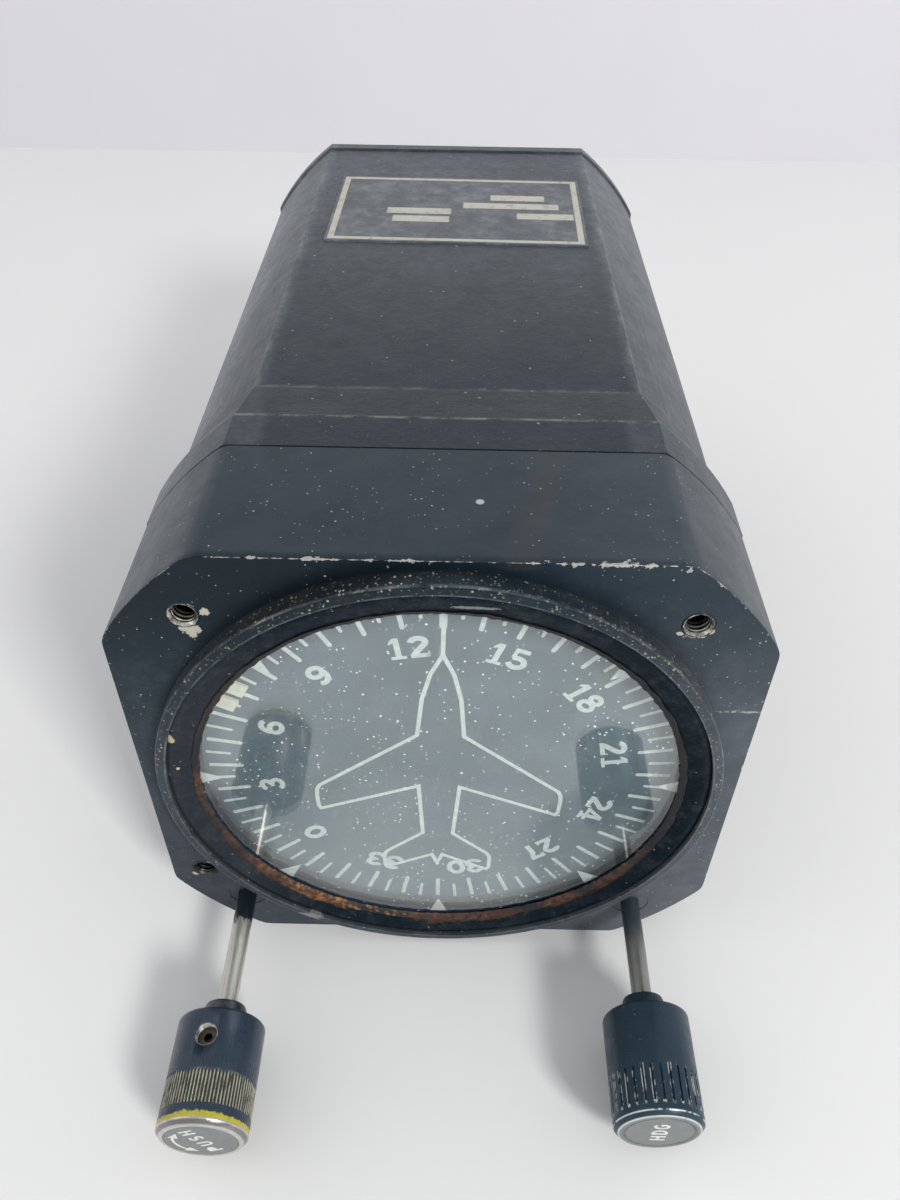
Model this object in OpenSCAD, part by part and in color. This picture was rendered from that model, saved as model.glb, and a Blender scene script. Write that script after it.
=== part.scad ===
// Directional gyro indicator for a 3 1/8 inch panel hole.
// Millimetres. +X to the right of the dial, +Y into the case, +Z up.
// The origin is on the dial's axis, in the plane of the flat front face.

/* [Case] */
// Width across the front casting
body_w = 85.0; // [84.6:0.1:85.4]
// Height of the front casting
body_h = 81.4; // [81:0.1:81.8]
// Radius of the arc that cuts the four corners
corner_r = 50.3; // [50.1:0.1:50.8]
// Depth of the front casting, from its face to the seam
housing_len = 23.2; // [23.2:0.1:24]
// Length of the whole case behind the face
case_len = 150; // [146:1:160]
// How much narrower the cover is behind its shoulder
body_step = 3.0; // [2:0.1:3]
// Where the collar of the cover ends, at the bead line
collar_end = 31.2; // [30.5:0.1:32]
// Where the shoulder of the cover ends
shoulder_end = 41.5; // [40:0.5:44]
// Wall of the front casting
housing_wall = 2.4; // [2:0.1:2.4]
// Wall of the cover
cover_wall = 1.8; // [1.2:0.1:1.8]

/* [Dial] */
// Outer radius of the raised ring that fills the panel hole
ring_r = 39.5; // [39.2:0.1:39.6]
// Height of the raised ring in front of the face
ring_h = 3.0; // [2.8:0.1:3.4]
// Radius of the glass that shows inside the sealant
sight_r = 33.8; // [33.4:0.1:34]
// Thickness of the cover glass
glass_t = 1.65; // [1.5:0.05:1.7]
// Radius of the compass card
card_r = 34.0; // [33.6:0.1:34]
// Depth of the card's front behind the face
card_y = 2.66; // [2.6:0.02:2.8]
// Angle of the heading bug from the top, clockwise from the front
bug_angle = -61; // [-180:1:180]

/* [Knobs] */
// Sideways and downward distance of both knob shafts from the dial's axis
screw_off = 31.43; // [31.3:0.01:31.5]
// Radius of the knob shafts
shaft_r = 1.5; // [1.4:0.05:1.5]
// Radius of both knobs
knob_r = 6.35; // [6:0.05:6.5]
// Front end of the caging knob
push_end = -37.75; // [-39:0.05:-37]
// Front end of the heading knob
hdg_end = -35.35; // [-37:0.05:-35]
// Travel of the caging knob
push_travel = 5; // [4:0.5:5]
// Angle of the lower left screw hole below the horizontal
lower_hole_angle = 32.8; // [32:0.1:34]

/* [Gyro] */
// Distance of the gimbals' centre behind the face
gimbal_y = 86; // [85:1:88]
// Pitch radius of both bevel gears
bevel_r = 31; // [31:0.5:31]
// Teeth of each bevel gear
bevel_teeth = 64; // [64:4:64]
// Radius of the rotor
rotor_r = 14; // [12:0.5:14]

/* [Data plate] */
// Width of the plate on top of the case
plate_w = 49.8; // [40:0.1:52]
// Length of the plate along the case
plate_len = 34.2; // [30:0.1:36]
// Distance of the plate's middle behind the face
plate_y = 111.8; // [100:0.1:115]

/* [Hidden] */
$fn = 64;

// Colours
paint_blue_black = [0.07, 0.09, 0.12];
paint_dusty = [0.12, 0.13, 0.15];
steel = [0.66, 0.66, 0.64];
dark_steel = [0.25, 0.26, 0.28];
brass = [0.74, 0.62, 0.33];
aluminium = [0.72, 0.73, 0.75];
rubber = [0.06, 0.06, 0.06];
rust_sealant = [0.45, 0.24, 0.09];
glass_tint = [0.6, 0.7, 0.75, 0.35];
card_black = [0.10, 0.12, 0.14];
cream = [0.93, 0.90, 0.74];
disc_grey = [0.38, 0.40, 0.41];

// Clearances
eps = 0.01;
fit = 0.01;
run = 0.03;

// Case
face_t = 4;
gasket_t = 0.3;
rear_t = 3;
lip_step = 1.0;
cover_start = housing_len + gasket_t;
cover_end = case_len - rear_t - gasket_t;
narrow_w = body_w - body_step;
narrow_h = body_h - body_step;
narrow_r = corner_r - body_step / 2 - 0.4;
case_screw_at = [36.8, 18];
case_screw_r = 1.25;
case_screw_tip = 12;
case_head_r = 2.6;
case_head_t = 1.5;

// Dial, from the glass inwards
glass_front = -1.2;
glass_back = glass_front + glass_t;
glass_r = 36.9;
pocket_r = 38.0;
retainer_r = 37.6;
retainer_in = sight_r + 0.6;
seal_t = 0.2;
mask_t = 0.2;
ledge_y = glass_back + seal_t + mask_t;
opening_r = 35.6;
card_t = 0.8;

// Knob shafts and panel screws
bolt_circle_r = screw_off * sqrt(2);
lower_hole_at = [-bolt_circle_r * cos(lower_hole_angle), -bolt_circle_r * sin(lower_hole_angle)];
insert_places = [[-screw_off, screw_off], [screw_off, screw_off], lower_hole_at];
insert_r = 2.1;
insert_bore_r = 1.42;
insert_len = 6;
left = -1;
right = 1;
bushing_r = 3.0;
bushing_end = 7.4;
washer_r = 2.9;
washer_y = bushing_end + 0.1;
washer_t = 0.6;

// Knobs
push_knob_len = 18.7;
push_collar_len = 2.8;
push_screw_angle = -6;
hdg_knob_len = 18.85;
hdg_collar_len = 2.9;
hdg_screw_angle = 100;
knob_wall = 6;
knob_chamfer = 0.75;
knob_end_r = 5.7;
disc_r = 5.15;
disc_t = 0.25;
collar_r = 3.1;
screw_back = 4.1;
set_screw_r = 1.5;
set_screw_len = 3.6;

// Spur gears
gear_m = 0.6;
ring_teeth = 112;
idler_teeth = 16;
pinion_teeth = 8;
pressure_angle = 25;
addendum = 0.75;
dedendum = 1.05;
slack = 0.09;
gear_w = 1.6;
ring_hole_r = 7;
bug_gear_y = 8.2;

// Bulkhead and frame
bulkhead_y = 22;
bulkhead_t = 3;
bulkhead_back = bulkhead_y + bulkhead_t;
bulkhead_w = 66.8;
bulkhead_h = 74.4;
bulkhead_r = 41;
bulkhead_boss_at = [22, 31];
bar_out = 37.2;
bar_in = 34.6;
bar_w = 24;
frame_end = 125;
frame_screw_r = 0.9;
screw_len = 8;
bulkhead_screw_r = 1;
frame_screw_at = [9, (bar_out + bar_in) / 2];

// Card shaft
card_shaft_r = 2;
card_nose_r = 7.95;
card_spigot_r = 9;
card_bearing_r = 4;
card_bearing_t = 3;
card_bearing_places = [7.6, bulkhead_back - 3.4];

// Setting pinion, which meets its idler only when the knob is pushed in
setting_pinion_y = bulkhead_back + 0.8;
setting_gear_y = setting_pinion_y + push_travel + 0.4;

// Bevel gears and gimbals
bevel_face = 4;
bevel_web = 2.5;
bevel_m = 2 * bevel_r / bevel_teeth;
bevel_hollow_r = 24.5;
stem_r = 3;
pivot_r = 1.5;
outer_gimbal_r = 25.5;
outer_gimbal_in = 22.5;
inner_gimbal_r = 20;
inner_gimbal_in = 17.4;
inner_pivot_r = 1.0;
rotor_shaft_r = 1.2;
rotor_w = 16;
bearing_r = 3.5;
small_bearing_r = 2.5;
small_bearing_t = 3;
nozzle_r = 1.8;
nozzle_bore_r = 0.6;
nozzle_low = -24.5;
nozzle_high = -21;

// Caging lever
lever_t = 2;
lever_half = 1.2;
lever_reach = 12;
lever_tail = 15;
push_shaft_tip = 37;
lever_gap = 0.3;
lever_at = [-screw_off + lever_reach, push_shaft_tip + lever_gap + lever_half];

// Rear
suction_at = [0, 18];
suction_r = 4.75;
suction_bore_r = 3.4;
filter_at = [0, -20];
filter_r = 9;
tube_r = 3;

// A flat shape in X and Z, extruded from y0 to y1
module along_y(y0, y1) {
    translate([0, y1, 0]) rotate([90, 0, 0]) linear_extrude(y1 - y0) children();
}

// A round rod along Y
module rod_y(r, y0, y1, at = [0, 0]) {
    translate([at[0], y0, at[1]]) rotate([-90, 0, 0]) cylinder(r = r, h = y1 - y0);
}

// A round rod along Z, at a place in X and Y
module rod_z(r, z0, z1, at) {
    translate([at[0], at[1], z0]) cylinder(r = r, h = z1 - z0);
}

// A round rod along X through the gimbals' centre
module rod_x(r, x0, x1) {
    translate([x0, gimbal_y, 0]) rotate([0, 90, 0]) cylinder(r = r, h = x1 - x0);
}

// A ring along Y
module ring_y(r_out, r_in, y0, y1, at = [0, 0]) {
    difference() {
        rod_y(r_out, y0, y1, at);
        rod_y(r_in, y0 - 1, y1 + 1, at);
    }
}

// A ring along Z
module ring_z(r_out, r_in, z0, z1, at) {
    difference() {
        rod_z(r_out, z0, z1, at);
        rod_z(r_in, z0 - 1, z1 + 1, at);
    }
}

// A solid turned about the Y axis from points of radius and depth
module turned_y(points, at = [0, 0]) {
    translate([at[0], 0, at[1]]) rotate([-90, 0, 0]) rotate_extrude() polygon(points);
}

// The case's cross-section, a rectangle with its corners cut by a circle
module case_outline(w, h, r) {
    intersection() {
        square([w, h], center = true);
        circle(r = r, $fn = 180);
    }
}

// The four mirrored places of one place
function four(at) = [for (sx = [-1, 1], sz = [-1, 1]) [sx * at[0], sz * at[1]]];

// Gear geometry
function involute(a) = tan(a) * 180 / PI - a;
function flank_half(r, teeth, base) =
    90 / teeth - slack * 90 / teeth + involute(pressure_angle) - involute(r > base ? acos(base / r) : 0);
function gear_radii(teeth, m) = let (pitch = teeth * m / 2)
    [pitch - dedendum * m, max(pitch * cos(pressure_angle), pitch - 0.7 * m), pitch, pitch + addendum * m];
function gear_points(teeth, m) = let (radii = gear_radii(teeth, m), base = teeth * m / 2 * cos(pressure_angle))
    [for (i = [0:teeth - 1], k = [0:7])
        let (rise = k < 4, r = radii[rise ? k : 7 - k], half = flank_half(r, teeth, base),
            a = i * 360 / teeth + (rise ? -half : half))
        r * [cos(a), sin(a)]];

// A toothed outline with its first tooth at the angle first
module gear_outline(teeth, m, first) {
    rotate(first) polygon(gear_points(teeth, m));
}

// The spur trains that join the ring gears to the knob shafts, mirrored left and right
ring_to_idler = gear_m * (ring_teeth + idler_teeth) / 2;
idler_to_knob = gear_m * (idler_teeth + pinion_teeth) / 2;
train_bend = acos((pow(ring_to_idler, 2) + pow(bolt_circle_r, 2) - pow(idler_to_knob, 2))
    / (2 * ring_to_idler * bolt_circle_r));
function train_angle(side) = -90 + side * (45 + train_bend);
function idler_at(side) = ring_to_idler * [cos(train_angle(side)), sin(train_angle(side))];
function knob_at(side) = [side * screw_off, -screw_off];
function knob_angle(side) = let (d = knob_at(side) - idler_at(side)) atan2(d[1], d[0]);
function idler_first(side) = train_angle(side) + 180 + 180 / idler_teeth;
function idler_share(side) = (knob_angle(side) - idler_first(side)) * idler_teeth / 360;
function pinion_first(side) = knob_angle(side) + 180 - (0.5 - idler_share(side)) * 360 / pinion_teeth;

module ring_gear(side, y0) {
    along_y(y0, y0 + gear_w) gear_outline(ring_teeth, gear_m, train_angle(side));
}

module idler_gear(side, y0) {
    difference() {
        union() {
            translate([idler_at(side)[0], 0, idler_at(side)[1]])
                along_y(y0 + 0.2, y0 + gear_w - 0.2) gear_outline(idler_teeth, gear_m, idler_first(side));
            rod_y(2.4, y0 - 0.4, y0 + gear_w + 0.4, idler_at(side));
        }
        rod_y(1.2 + run, y0 - 2, y0 + gear_w + 2, idler_at(side));
    }
}

module pinion(side, y0, y1) {
    difference() {
        translate([knob_at(side)[0], 0, knob_at(side)[1]])
            along_y(y0, y1) gear_outline(pinion_teeth, gear_m, pinion_first(side));
        rod_y(shaft_r + fit, y0 - 1, y1 + 1, knob_at(side));
    }
}

// Front casting and what sits in its face

module front_housing() {
    color(paint_blue_black) difference() {
        union() {
            housing_shell();
            raised_ring();
        }
        rod_y(pocket_r, -ring_h - 1, ledge_y);
        rod_y(opening_r, -1, face_t + 1);
        for (at = insert_places) {
            rod_y(insert_r + fit, -1, insert_len + 0.05, at);
            rod_y(insert_bore_r + 0.2, 0, insert_len + 2, at);
        }
        for (side = [left, right])
            rod_y(bushing_r + fit, -1, bushing_end + 1, knob_at(side));
        for (at = four(case_screw_at))
            rod_y(case_screw_r + fit, case_screw_tip - 3, housing_len + 1, at);
        for (at = four(bulkhead_boss_at))
            rod_y(bulkhead_screw_r + fit, bulkhead_y - 8, bulkhead_y + 1, at);
    }
}

module housing_shell() {
    difference() {
        along_y(0, housing_len) case_outline(body_w, body_h, corner_r);
        difference() {
            along_y(face_t, housing_len + 1)
                case_outline(body_w - 2 * housing_wall, body_h - 2 * housing_wall, corner_r - housing_wall);
            housing_bosses();
        }
    }
}

module housing_bosses() {
    for (at = insert_places)
        rod_y(insert_r + 1.7, 0, insert_len + 3.5, at);
    for (side = [left, right])
        rod_y(bushing_r + 0.9, 0, bushing_end, knob_at(side));
    for (at = four(case_screw_at))
        rod_y(case_screw_r + 1.75, 0, housing_len, at);
    for (at = four(bulkhead_boss_at))
        rod_y(2.2, 0, bulkhead_y, at);
}

module raised_ring() {
    edge = 0.5;
    turned_y([[opening_r, 1], [ring_r, 1], [ring_r, -ring_h + edge], [ring_r - 0.15, -ring_h + 0.15],
        [ring_r - edge, -ring_h], [opening_r, -ring_h]]);
}

module thread_inserts() {
    color(steel) for (at = insert_places)
        ring_y(insert_r, insert_bore_r, -0.1, insert_len, at);
}

module glass_gasket() {
    color(rubber) ring_y(glass_r, opening_r + 0.2, glass_back, glass_back + seal_t);
}

module cover_glass() {
    color(glass_tint) rod_y(glass_r, glass_front, glass_back);
}

module glass_sealant() {
    color(rust_sealant) turned_y([[retainer_in, glass_front], [sight_r, glass_front],
        [sight_r + 0.15, glass_front - 0.25], [retainer_in, glass_front - 0.4]]);
}

module glass_retaining_ring() {
    color(paint_blue_black) turned_y([[retainer_in, glass_front], [retainer_r, glass_front],
        [retainer_r, -2.3], [retainer_r - 0.25, -2.45], [retainer_r - 0.8, -2.4], [retainer_in, glass_front - 0.45]]);
}

module dial_mask() {
    color(card_black) ring_y(glass_r, card_r + 0.1, ledge_y - mask_t, ledge_y);
}

module shaft_bushings() {
    color(brass) for (side = [left, right])
        ring_y(bushing_r, shaft_r + run, 0.1, bushing_end, knob_at(side));
}

// Compass card and its drive

module compass_card() {
    color(card_black) rod_y(card_r, card_y, card_y + card_t);
}

module card_hub() {
    back = card_y + card_t;
    flange_r = 9;
    flange_t = 1;
    hub_r = 5;
    hub_len = 3.2;
    color(aluminium) difference() {
        union() {
            rod_y(flange_r, back, back + flange_t);
            rod_y(hub_r, back, back + hub_len);
        }
        rod_y(card_shaft_r + fit, back - 1, back + hub_len + 1);
    }
}

module card_shaft() {
    color(steel) rod_y(card_shaft_r, card_y + card_t, gimbal_y - bevel_r);
}

module card_bearing_housing() {
    nose = 7.2;
    flange_r = 13;
    flange_t = 2;
    color(aluminium) difference() {
        union() {
            rod_y(card_nose_r, nose, bulkhead_y);
            rod_y(flange_r, bulkhead_y - flange_t, bulkhead_y);
            rod_y(card_spigot_r, bulkhead_y, bulkhead_back);
        }
        rod_y(card_shaft_r + 1, nose - 1, bulkhead_back + 1);
        for (y = card_bearing_places)
            rod_y(card_bearing_r + fit, y, y + card_bearing_t);
        rod_y(card_bearing_r + fit, nose - 1, card_bearing_places[0] + 1);
        rod_y(card_bearing_r + fit, card_bearing_places[1], bulkhead_back + 1);
    }
}

module card_bearings() {
    color(steel) for (y = card_bearing_places)
        ring_y(card_bearing_r, card_shaft_r + run, y, y + card_bearing_t);
}

module card_bevel_gear() {
    color(brass) translate([0, gimbal_y, 0]) rotate([-90, 0, 0]) bevel_gear(card_shaft_r, 0);
}

module gimbal_bevel_gear() {
    color(brass) translate([0, gimbal_y, 0]) bevel_gear(stem_r, 180 / bevel_teeth);
}

// A bevel gear whose cone has its apex at the origin and its large end below
module bevel_gear(bore_r, first) {
    small_end = (bevel_r - bevel_face) / bevel_r;
    web_r = bevel_r - 1.5;
    web_back = -bevel_r - bevel_web;
    hole_at = 14;
    hole_r = 5;
    difference() {
        union() {
            translate([0, 0, -bevel_r]) linear_extrude(bevel_face, scale = small_end)
                gear_outline(bevel_teeth, bevel_m, first);
            translate([0, 0, web_back]) cylinder(r = web_r, h = bevel_web + eps);
        }
        translate([0, 0, -bevel_r]) cylinder(r = bevel_hollow_r, h = bevel_face + 1);
        translate([0, 0, web_back - 1]) cylinder(r = bore_r + fit, h = bevel_web + 2);
        for (a = [0:60:300])
            rotate(a + 30) translate([hole_at, 0, web_back - 1]) cylinder(r = hole_r, h = bevel_web + 2);
    }
}

module card_setting_gear() {
    hub_r = 5;
    hub_front = setting_gear_y - 2;
    hub_back = setting_gear_y + 3;
    hole_at = 19;
    color(brass) difference() {
        union() {
            ring_gear(left, setting_gear_y);
            rod_y(hub_r, hub_front, hub_back);
        }
        rod_y(card_shaft_r + fit, hub_front - 1, hub_back + 1);
        for (a = [0:60:300])
            rod_y(ring_hole_r, hub_front - 1, hub_back + 1, hole_at * [cos(a), sin(a)]);
    }
}

// Heading bug and its drive

module bug_ring_gear() {
    rim_in = card_r + 0.35;
    rim_out = card_r + 1.2;
    front = 1.3;
    web_in = 30;
    web_front = bug_gear_y - 1;
    hub_r = 11;
    hub_back = bug_gear_y + 5;
    hole_at = 21;
    color(brass) difference() {
        union() {
            ring_gear(right, bug_gear_y);
            turned_y([[web_in, web_front], [rim_in, web_front], [rim_in, front], [rim_out, front],
                [rim_out, bug_gear_y], [web_in, bug_gear_y]]);
            rod_y(hub_r, bug_gear_y, hub_back);
        }
        rod_y(card_nose_r + 0.05, web_front, hub_back + 1);
        for (a = [0:60:300])
            rod_y(ring_hole_r, web_front - 1, hub_back + 1, hole_at * [cos(a), sin(a)]);
    }
}

// Two blocks with a notch between them, on the rim of the bug's ring
module heading_bug() {
    block_in = 30.6;
    block_out = card_r + 0.4;
    block_w = 2.2;
    notch = 1.1;
    front = 1.95;
    color(cream) rotate([0, bug_angle, 0]) intersection() {
        along_y(front, front + 0.45) for (s = [-1, 1])
            translate([s * (block_w + notch) / 2 - block_w / 2, block_in]) square([block_w, block_out - block_in]);
        rod_y(block_out - 0.1, 0, 4);
    }
}

module bug_idler_gear() {
    color(brass) idler_gear(right, bug_gear_y);
}

module bug_idler_stud() {
    color(steel) {
        rod_y(1.2, bug_gear_y - 0.9, bulkhead_y, idler_at(right));
        rod_y(2.2, bug_gear_y + gear_w + 0.6, bulkhead_y, idler_at(right));
    }
}

module hdg_shaft() {
    color(dark_steel) rod_y(shaft_r, hdg_end + knob_wall, bulkhead_back + 0.8, knob_at(right));
}

module hdg_pinion() {
    color(steel) pinion(right, bug_gear_y - 0.2, bug_gear_y + gear_w + 0.2);
}

module hdg_knob() {
    color(paint_blue_black) knob(knob_at(right), hdg_end, hdg_knob_len, hdg_collar_len, hdg_screw_angle);
}

module hdg_knob_disc() {
    color(disc_grey) knob_disc(knob_at(right), hdg_end);
}

module hdg_set_screw() {
    color(dark_steel) set_screw(knob_at(right), screw_y(hdg_end, hdg_knob_len, hdg_collar_len), hdg_screw_angle);
}

// A round knob with a collar at the back, a recess for its legend disc and a radial screw hole
module knob(at, front, len, collar_len, screw_angle) {
    back = front + len;
    shoulder = back - collar_len;
    round_over = 0.55;
    difference() {
        turned_y([[0, front + disc_t], [disc_r, front + disc_t], [disc_r + 0.05, front], [knob_end_r, front],
            [knob_r, front + knob_chamfer], [knob_r, shoulder - round_over],
            [knob_r - 0.3 * round_over, shoulder - 0.3 * round_over], [knob_r - round_over, shoulder],
            [collar_r, shoulder], [collar_r, back - 0.5], [collar_r - 0.5, back], [0, back]], at);
        rod_y(shaft_r + fit, front + knob_wall, back + 1, at);
        screw_bore(at, screw_y(front, len, collar_len), screw_angle, set_screw_r + fit);
    }
}

// Where a knob's set screw stands along its shaft
function screw_y(front, len, collar_len) = front + len - collar_len - screw_back;

// A radial bore from the middle of a knob to its side, angle clockwise from the top
module screw_bore(at, y, angle, r) {
    translate([at[0], y, at[1]]) rotate([0, angle, 0]) cylinder(r = r, h = knob_r + 1);
}

module set_screw(at, y, angle) {
    socket_r = 0.7;
    socket_depth = 1.45;
    translate([at[0], y, at[1]]) rotate([0, angle, 0]) translate([0, 0, shaft_r + 0.05]) difference() {
        cylinder(r = set_screw_r, h = set_screw_len);
        translate([0, 0, set_screw_len - socket_depth]) cylinder(r = socket_r, h = 3, $fn = 6);
    }
}

module knob_disc(at, front) {
    rod_y(disc_r - fit, front + 0.02, front + disc_t, at);
}

// Caging knob and what it moves

module push_shaft() {
    color(steel) {
        rod_y(shaft_r, push_end + knob_wall, push_shaft_tip - 1, knob_at(left));
        rod_y(0.8, push_shaft_tip - 1 - eps, push_shaft_tip, knob_at(left));
    }
}

module push_knob() {
    color(paint_blue_black) knob(knob_at(left), push_end, push_knob_len, push_collar_len, push_screw_angle);
}

module push_knob_disc() {
    color(disc_grey) knob_disc(knob_at(left), push_end);
}

module push_set_screw() {
    color(steel) set_screw(knob_at(left), screw_y(push_end, push_knob_len, push_collar_len), push_screw_angle);
}

module spring_washer() {
    color(steel) ring_y(washer_r, shaft_r + run, washer_y, washer_y + washer_t, knob_at(left));
}

module push_return_spring() {
    color(steel) ring_y(washer_r - 0.3, shaft_r + 0.3, washer_y + washer_t, bulkhead_y, knob_at(left));
}

module setting_pinion() {
    color(steel) pinion(left, setting_pinion_y, setting_pinion_y + 2.6);
}

module setting_idler_gear() {
    color(brass) idler_gear(left, setting_gear_y);
}

module setting_idler_stud() {
    color(steel) {
        rod_y(1.2, bulkhead_back, setting_gear_y + gear_w + 0.9, idler_at(left));
        rod_y(2.2, bulkhead_back, setting_gear_y - 0.6, idler_at(left));
    }
}

// Bell crank that the shaft's tip rocks, with its pivot on the frame
module caging_lever() {
    color(aluminium) translate([lever_at[0], lever_at[1], -screw_off]) difference() {
        translate([0, 0, -lever_t / 2]) linear_extrude(lever_t) {
            circle(r = 2.6);
            translate([-lever_reach - 1.6, -lever_half]) square([lever_reach + 1.6, 2 * lever_half]);
            translate([-lever_half, 0]) square([2 * lever_half, lever_tail]);
        }
        translate([0, 0, -lever_t]) cylinder(r = 1 + run, h = 2 * lever_t);
    }
}

module caging_lever_pivot() {
    color(steel) {
        rod_z(1, -bar_out, -screw_off + lever_t / 2 + 0.3, lever_at);
        rod_z(1.8, -screw_off + lever_t / 2 + 0.2, -screw_off + lever_t / 2 + 1.2, lever_at);
        rod_z(1.8, -bar_in, -screw_off - lever_t / 2 - 0.2, lever_at);
    }
}

// Bulkhead and frame

module front_bulkhead() {
    color(aluminium) difference() {
        along_y(bulkhead_y, bulkhead_back) {
            case_outline(bulkhead_w, bulkhead_h, bulkhead_r);
            for (side = [left, right]) {
                translate(knob_at(side)) circle(r = 3);
                rotate(-90 + side * 45) translate([bulkhead_r - 4, -2.6]) square([5, 5.2]);
            }
        }
        rod_y(card_spigot_r + fit, bulkhead_y - 1, bulkhead_back + 1);
        for (side = [left, right])
            rod_y(shaft_r + run, bulkhead_y - 1, bulkhead_back + 1, knob_at(side));
        for (at = four(bulkhead_boss_at))
            rod_y(bulkhead_screw_r + fit, bulkhead_y - 1, bulkhead_back + 1, at);
        for (at = four(frame_screw_at))
            rod_y(frame_screw_r + fit, bulkhead_y - 1, bulkhead_back + 1, at);
    }
}

module cap_screw(at, head_y, r, len, dir) {
    head = head_y - dir * 1.2;
    rod_y(r, min(head_y, head_y + dir * len), max(head_y, head_y + dir * len), at);
    difference() {
        rod_y(1.8 * r, min(head_y, head), max(head_y, head), at);
        translate([at[0] - 2 * r, head - 0.4, at[1] - 0.2]) cube([4 * r, 0.8, 0.4]);
    }
}

module mechanism_screws() {
    color(steel) for (at = four(bulkhead_boss_at))
        cap_screw(at, bulkhead_back, bulkhead_screw_r, screw_len, -1);
}

module frame_screws() {
    color(steel) for (at = four(frame_screw_at))
        cap_screw(at, bulkhead_y, frame_screw_r, screw_len, 1);
}

module gimbal_frame() {
    h = bar_out - bar_in;
    end_t = 3;
    foot_len = 8;
    color(aluminium) difference() {
        union() {
            for (z = [bar_in, -bar_out])
                translate([-bar_w / 2, bulkhead_back, z]) cube([bar_w, frame_end - bulkhead_back, h]);
            translate([-bar_w / 2, frame_end - end_t, -bar_out]) cube([bar_w, end_t, 2 * bar_out]);
            translate([lever_at[0] - 3, lever_at[1] - foot_len / 2, -bar_out]) cube([bar_w, foot_len, h]);
        }
        rod_z(bearing_r + fit, -bar_out - 1, -bar_in + 1, [0, gimbal_y]);
        rod_z(bearing_r + 1.5 + fit, bar_in - 1, bar_out + 1, [0, gimbal_y]);
        rod_z(1 + fit, -bar_out - 1, -bar_in + 1, lever_at);
        rod_y(tube_r + fit, frame_end - 4, frame_end + 1, filter_at);
        for (at = four(frame_screw_at))
            rod_y(frame_screw_r + fit, bulkhead_back - 1, bulkhead_back + screw_len, at);
    }
}

// Gimbals and rotor

module outer_gimbal() {
    width = 8;
    boss_r = 3.2;
    boss_end = outer_gimbal_r + 0.5;
    seat_in = outer_gimbal_in - 0.2;
    color(aluminium) difference() {
        union() {
            difference() {
                union() {
                    rod_y(outer_gimbal_r, gimbal_y - width / 2, gimbal_y + width / 2);
                    rod_x(boss_r, -boss_end, boss_end);
                }
                rod_y(outer_gimbal_in, gimbal_y - width, gimbal_y + width);
            }
            rod_z(stem_r, outer_gimbal_r - 1, bar_in - 1, [0, gimbal_y]);
            rod_z(stem_r, -bevel_r - bevel_web, -outer_gimbal_r + 1, [0, gimbal_y]);
            rod_z(pivot_r, bar_in - 2, bar_out - 0.2, [0, gimbal_y]);
            rod_z(pivot_r, -bar_out + 0.2, -bevel_r - bevel_web + 1, [0, gimbal_y]);
        }
        rod_x(small_bearing_r + fit, -boss_end - 1, -seat_in);
        rod_x(small_bearing_r + fit, seat_in, boss_end + 1);
        rod_z(nozzle_r + fit, nozzle_low, nozzle_high + 1, [0, gimbal_y]);
    }
}

module air_nozzle() {
    color(brass) ring_z(nozzle_r, nozzle_bore_r, nozzle_low, nozzle_high, [0, gimbal_y]);
}

module outer_gimbal_bearings() {
    color(steel) {
        ring_z(bearing_r, pivot_r + run, -bar_out, -bar_in, [0, gimbal_y]);
        ring_z(bearing_r, pivot_r + run, bar_in, bar_out, [0, gimbal_y]);
    }
}

module bearing_adjuster() {
    color(brass) ring_z(bearing_r + 1.5, bearing_r + fit, bar_in - 0.3, bar_out, [0, gimbal_y]);
}

module inner_gimbal_bearings() {
    inner_end = outer_gimbal_in + 0.1;
    color(steel) for (x = [-inner_end - small_bearing_t, inner_end]) difference() {
        rod_x(small_bearing_r, x, x + small_bearing_t);
        rod_x(inner_pivot_r + run, x - 1, x + small_bearing_t + 1);
    }
}

module inner_gimbal() {
    half = 3.5;
    pivot_end = outer_gimbal_r - 0.1;
    boss_r = 3.4;
    boss_in = 15.4;
    boss_out = 19.9;
    color(aluminium) difference() {
        union() {
            ring_z(inner_gimbal_r, inner_gimbal_in, -half, half, [0, gimbal_y]);
            rod_x(inner_pivot_r, -pivot_end, -inner_gimbal_r + 1);
            rod_x(inner_pivot_r, inner_gimbal_r - 1, pivot_end);
            rod_y(boss_r, gimbal_y - boss_out, gimbal_y - boss_in);
            rod_y(boss_r, gimbal_y + boss_in, gimbal_y + boss_out);
        }
        rod_y(small_bearing_r + fit, gimbal_y - boss_out - 1, gimbal_y - boss_in + 1);
        rod_y(small_bearing_r + fit, gimbal_y + boss_in - 1, gimbal_y + boss_out + 1);
    }
}

module rotor_bearings() {
    near = 16;
    color(steel) for (y = [-near - small_bearing_t, near])
        ring_y(small_bearing_r, rotor_shaft_r + run, gimbal_y + y, gimbal_y + y + small_bearing_t);
}

module rotor() {
    buckets = 24;
    bucket_r = 1.2;
    bucket_half = 3;
    recess = 4;
    shaft_end = 18.8;
    color(brass) difference() {
        union() {
            rod_y(rotor_r, gimbal_y - rotor_w / 2, gimbal_y + rotor_w / 2);
            rod_y(rotor_shaft_r, gimbal_y - shaft_end, gimbal_y + shaft_end);
        }
        for (y = [-rotor_w / 2 - 1, rotor_w / 2 - recess])
            ring_y(rotor_r - 3, 4, gimbal_y + y, gimbal_y + y + recess + 1);
        for (i = [0:buckets - 1])
            rod_y(bucket_r, gimbal_y - bucket_half, gimbal_y + bucket_half,
                (rotor_r + 0.2) * [cos(i * 360 / buckets), sin(i * 360 / buckets)]);
    }
}

// Case behind the seam

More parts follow.
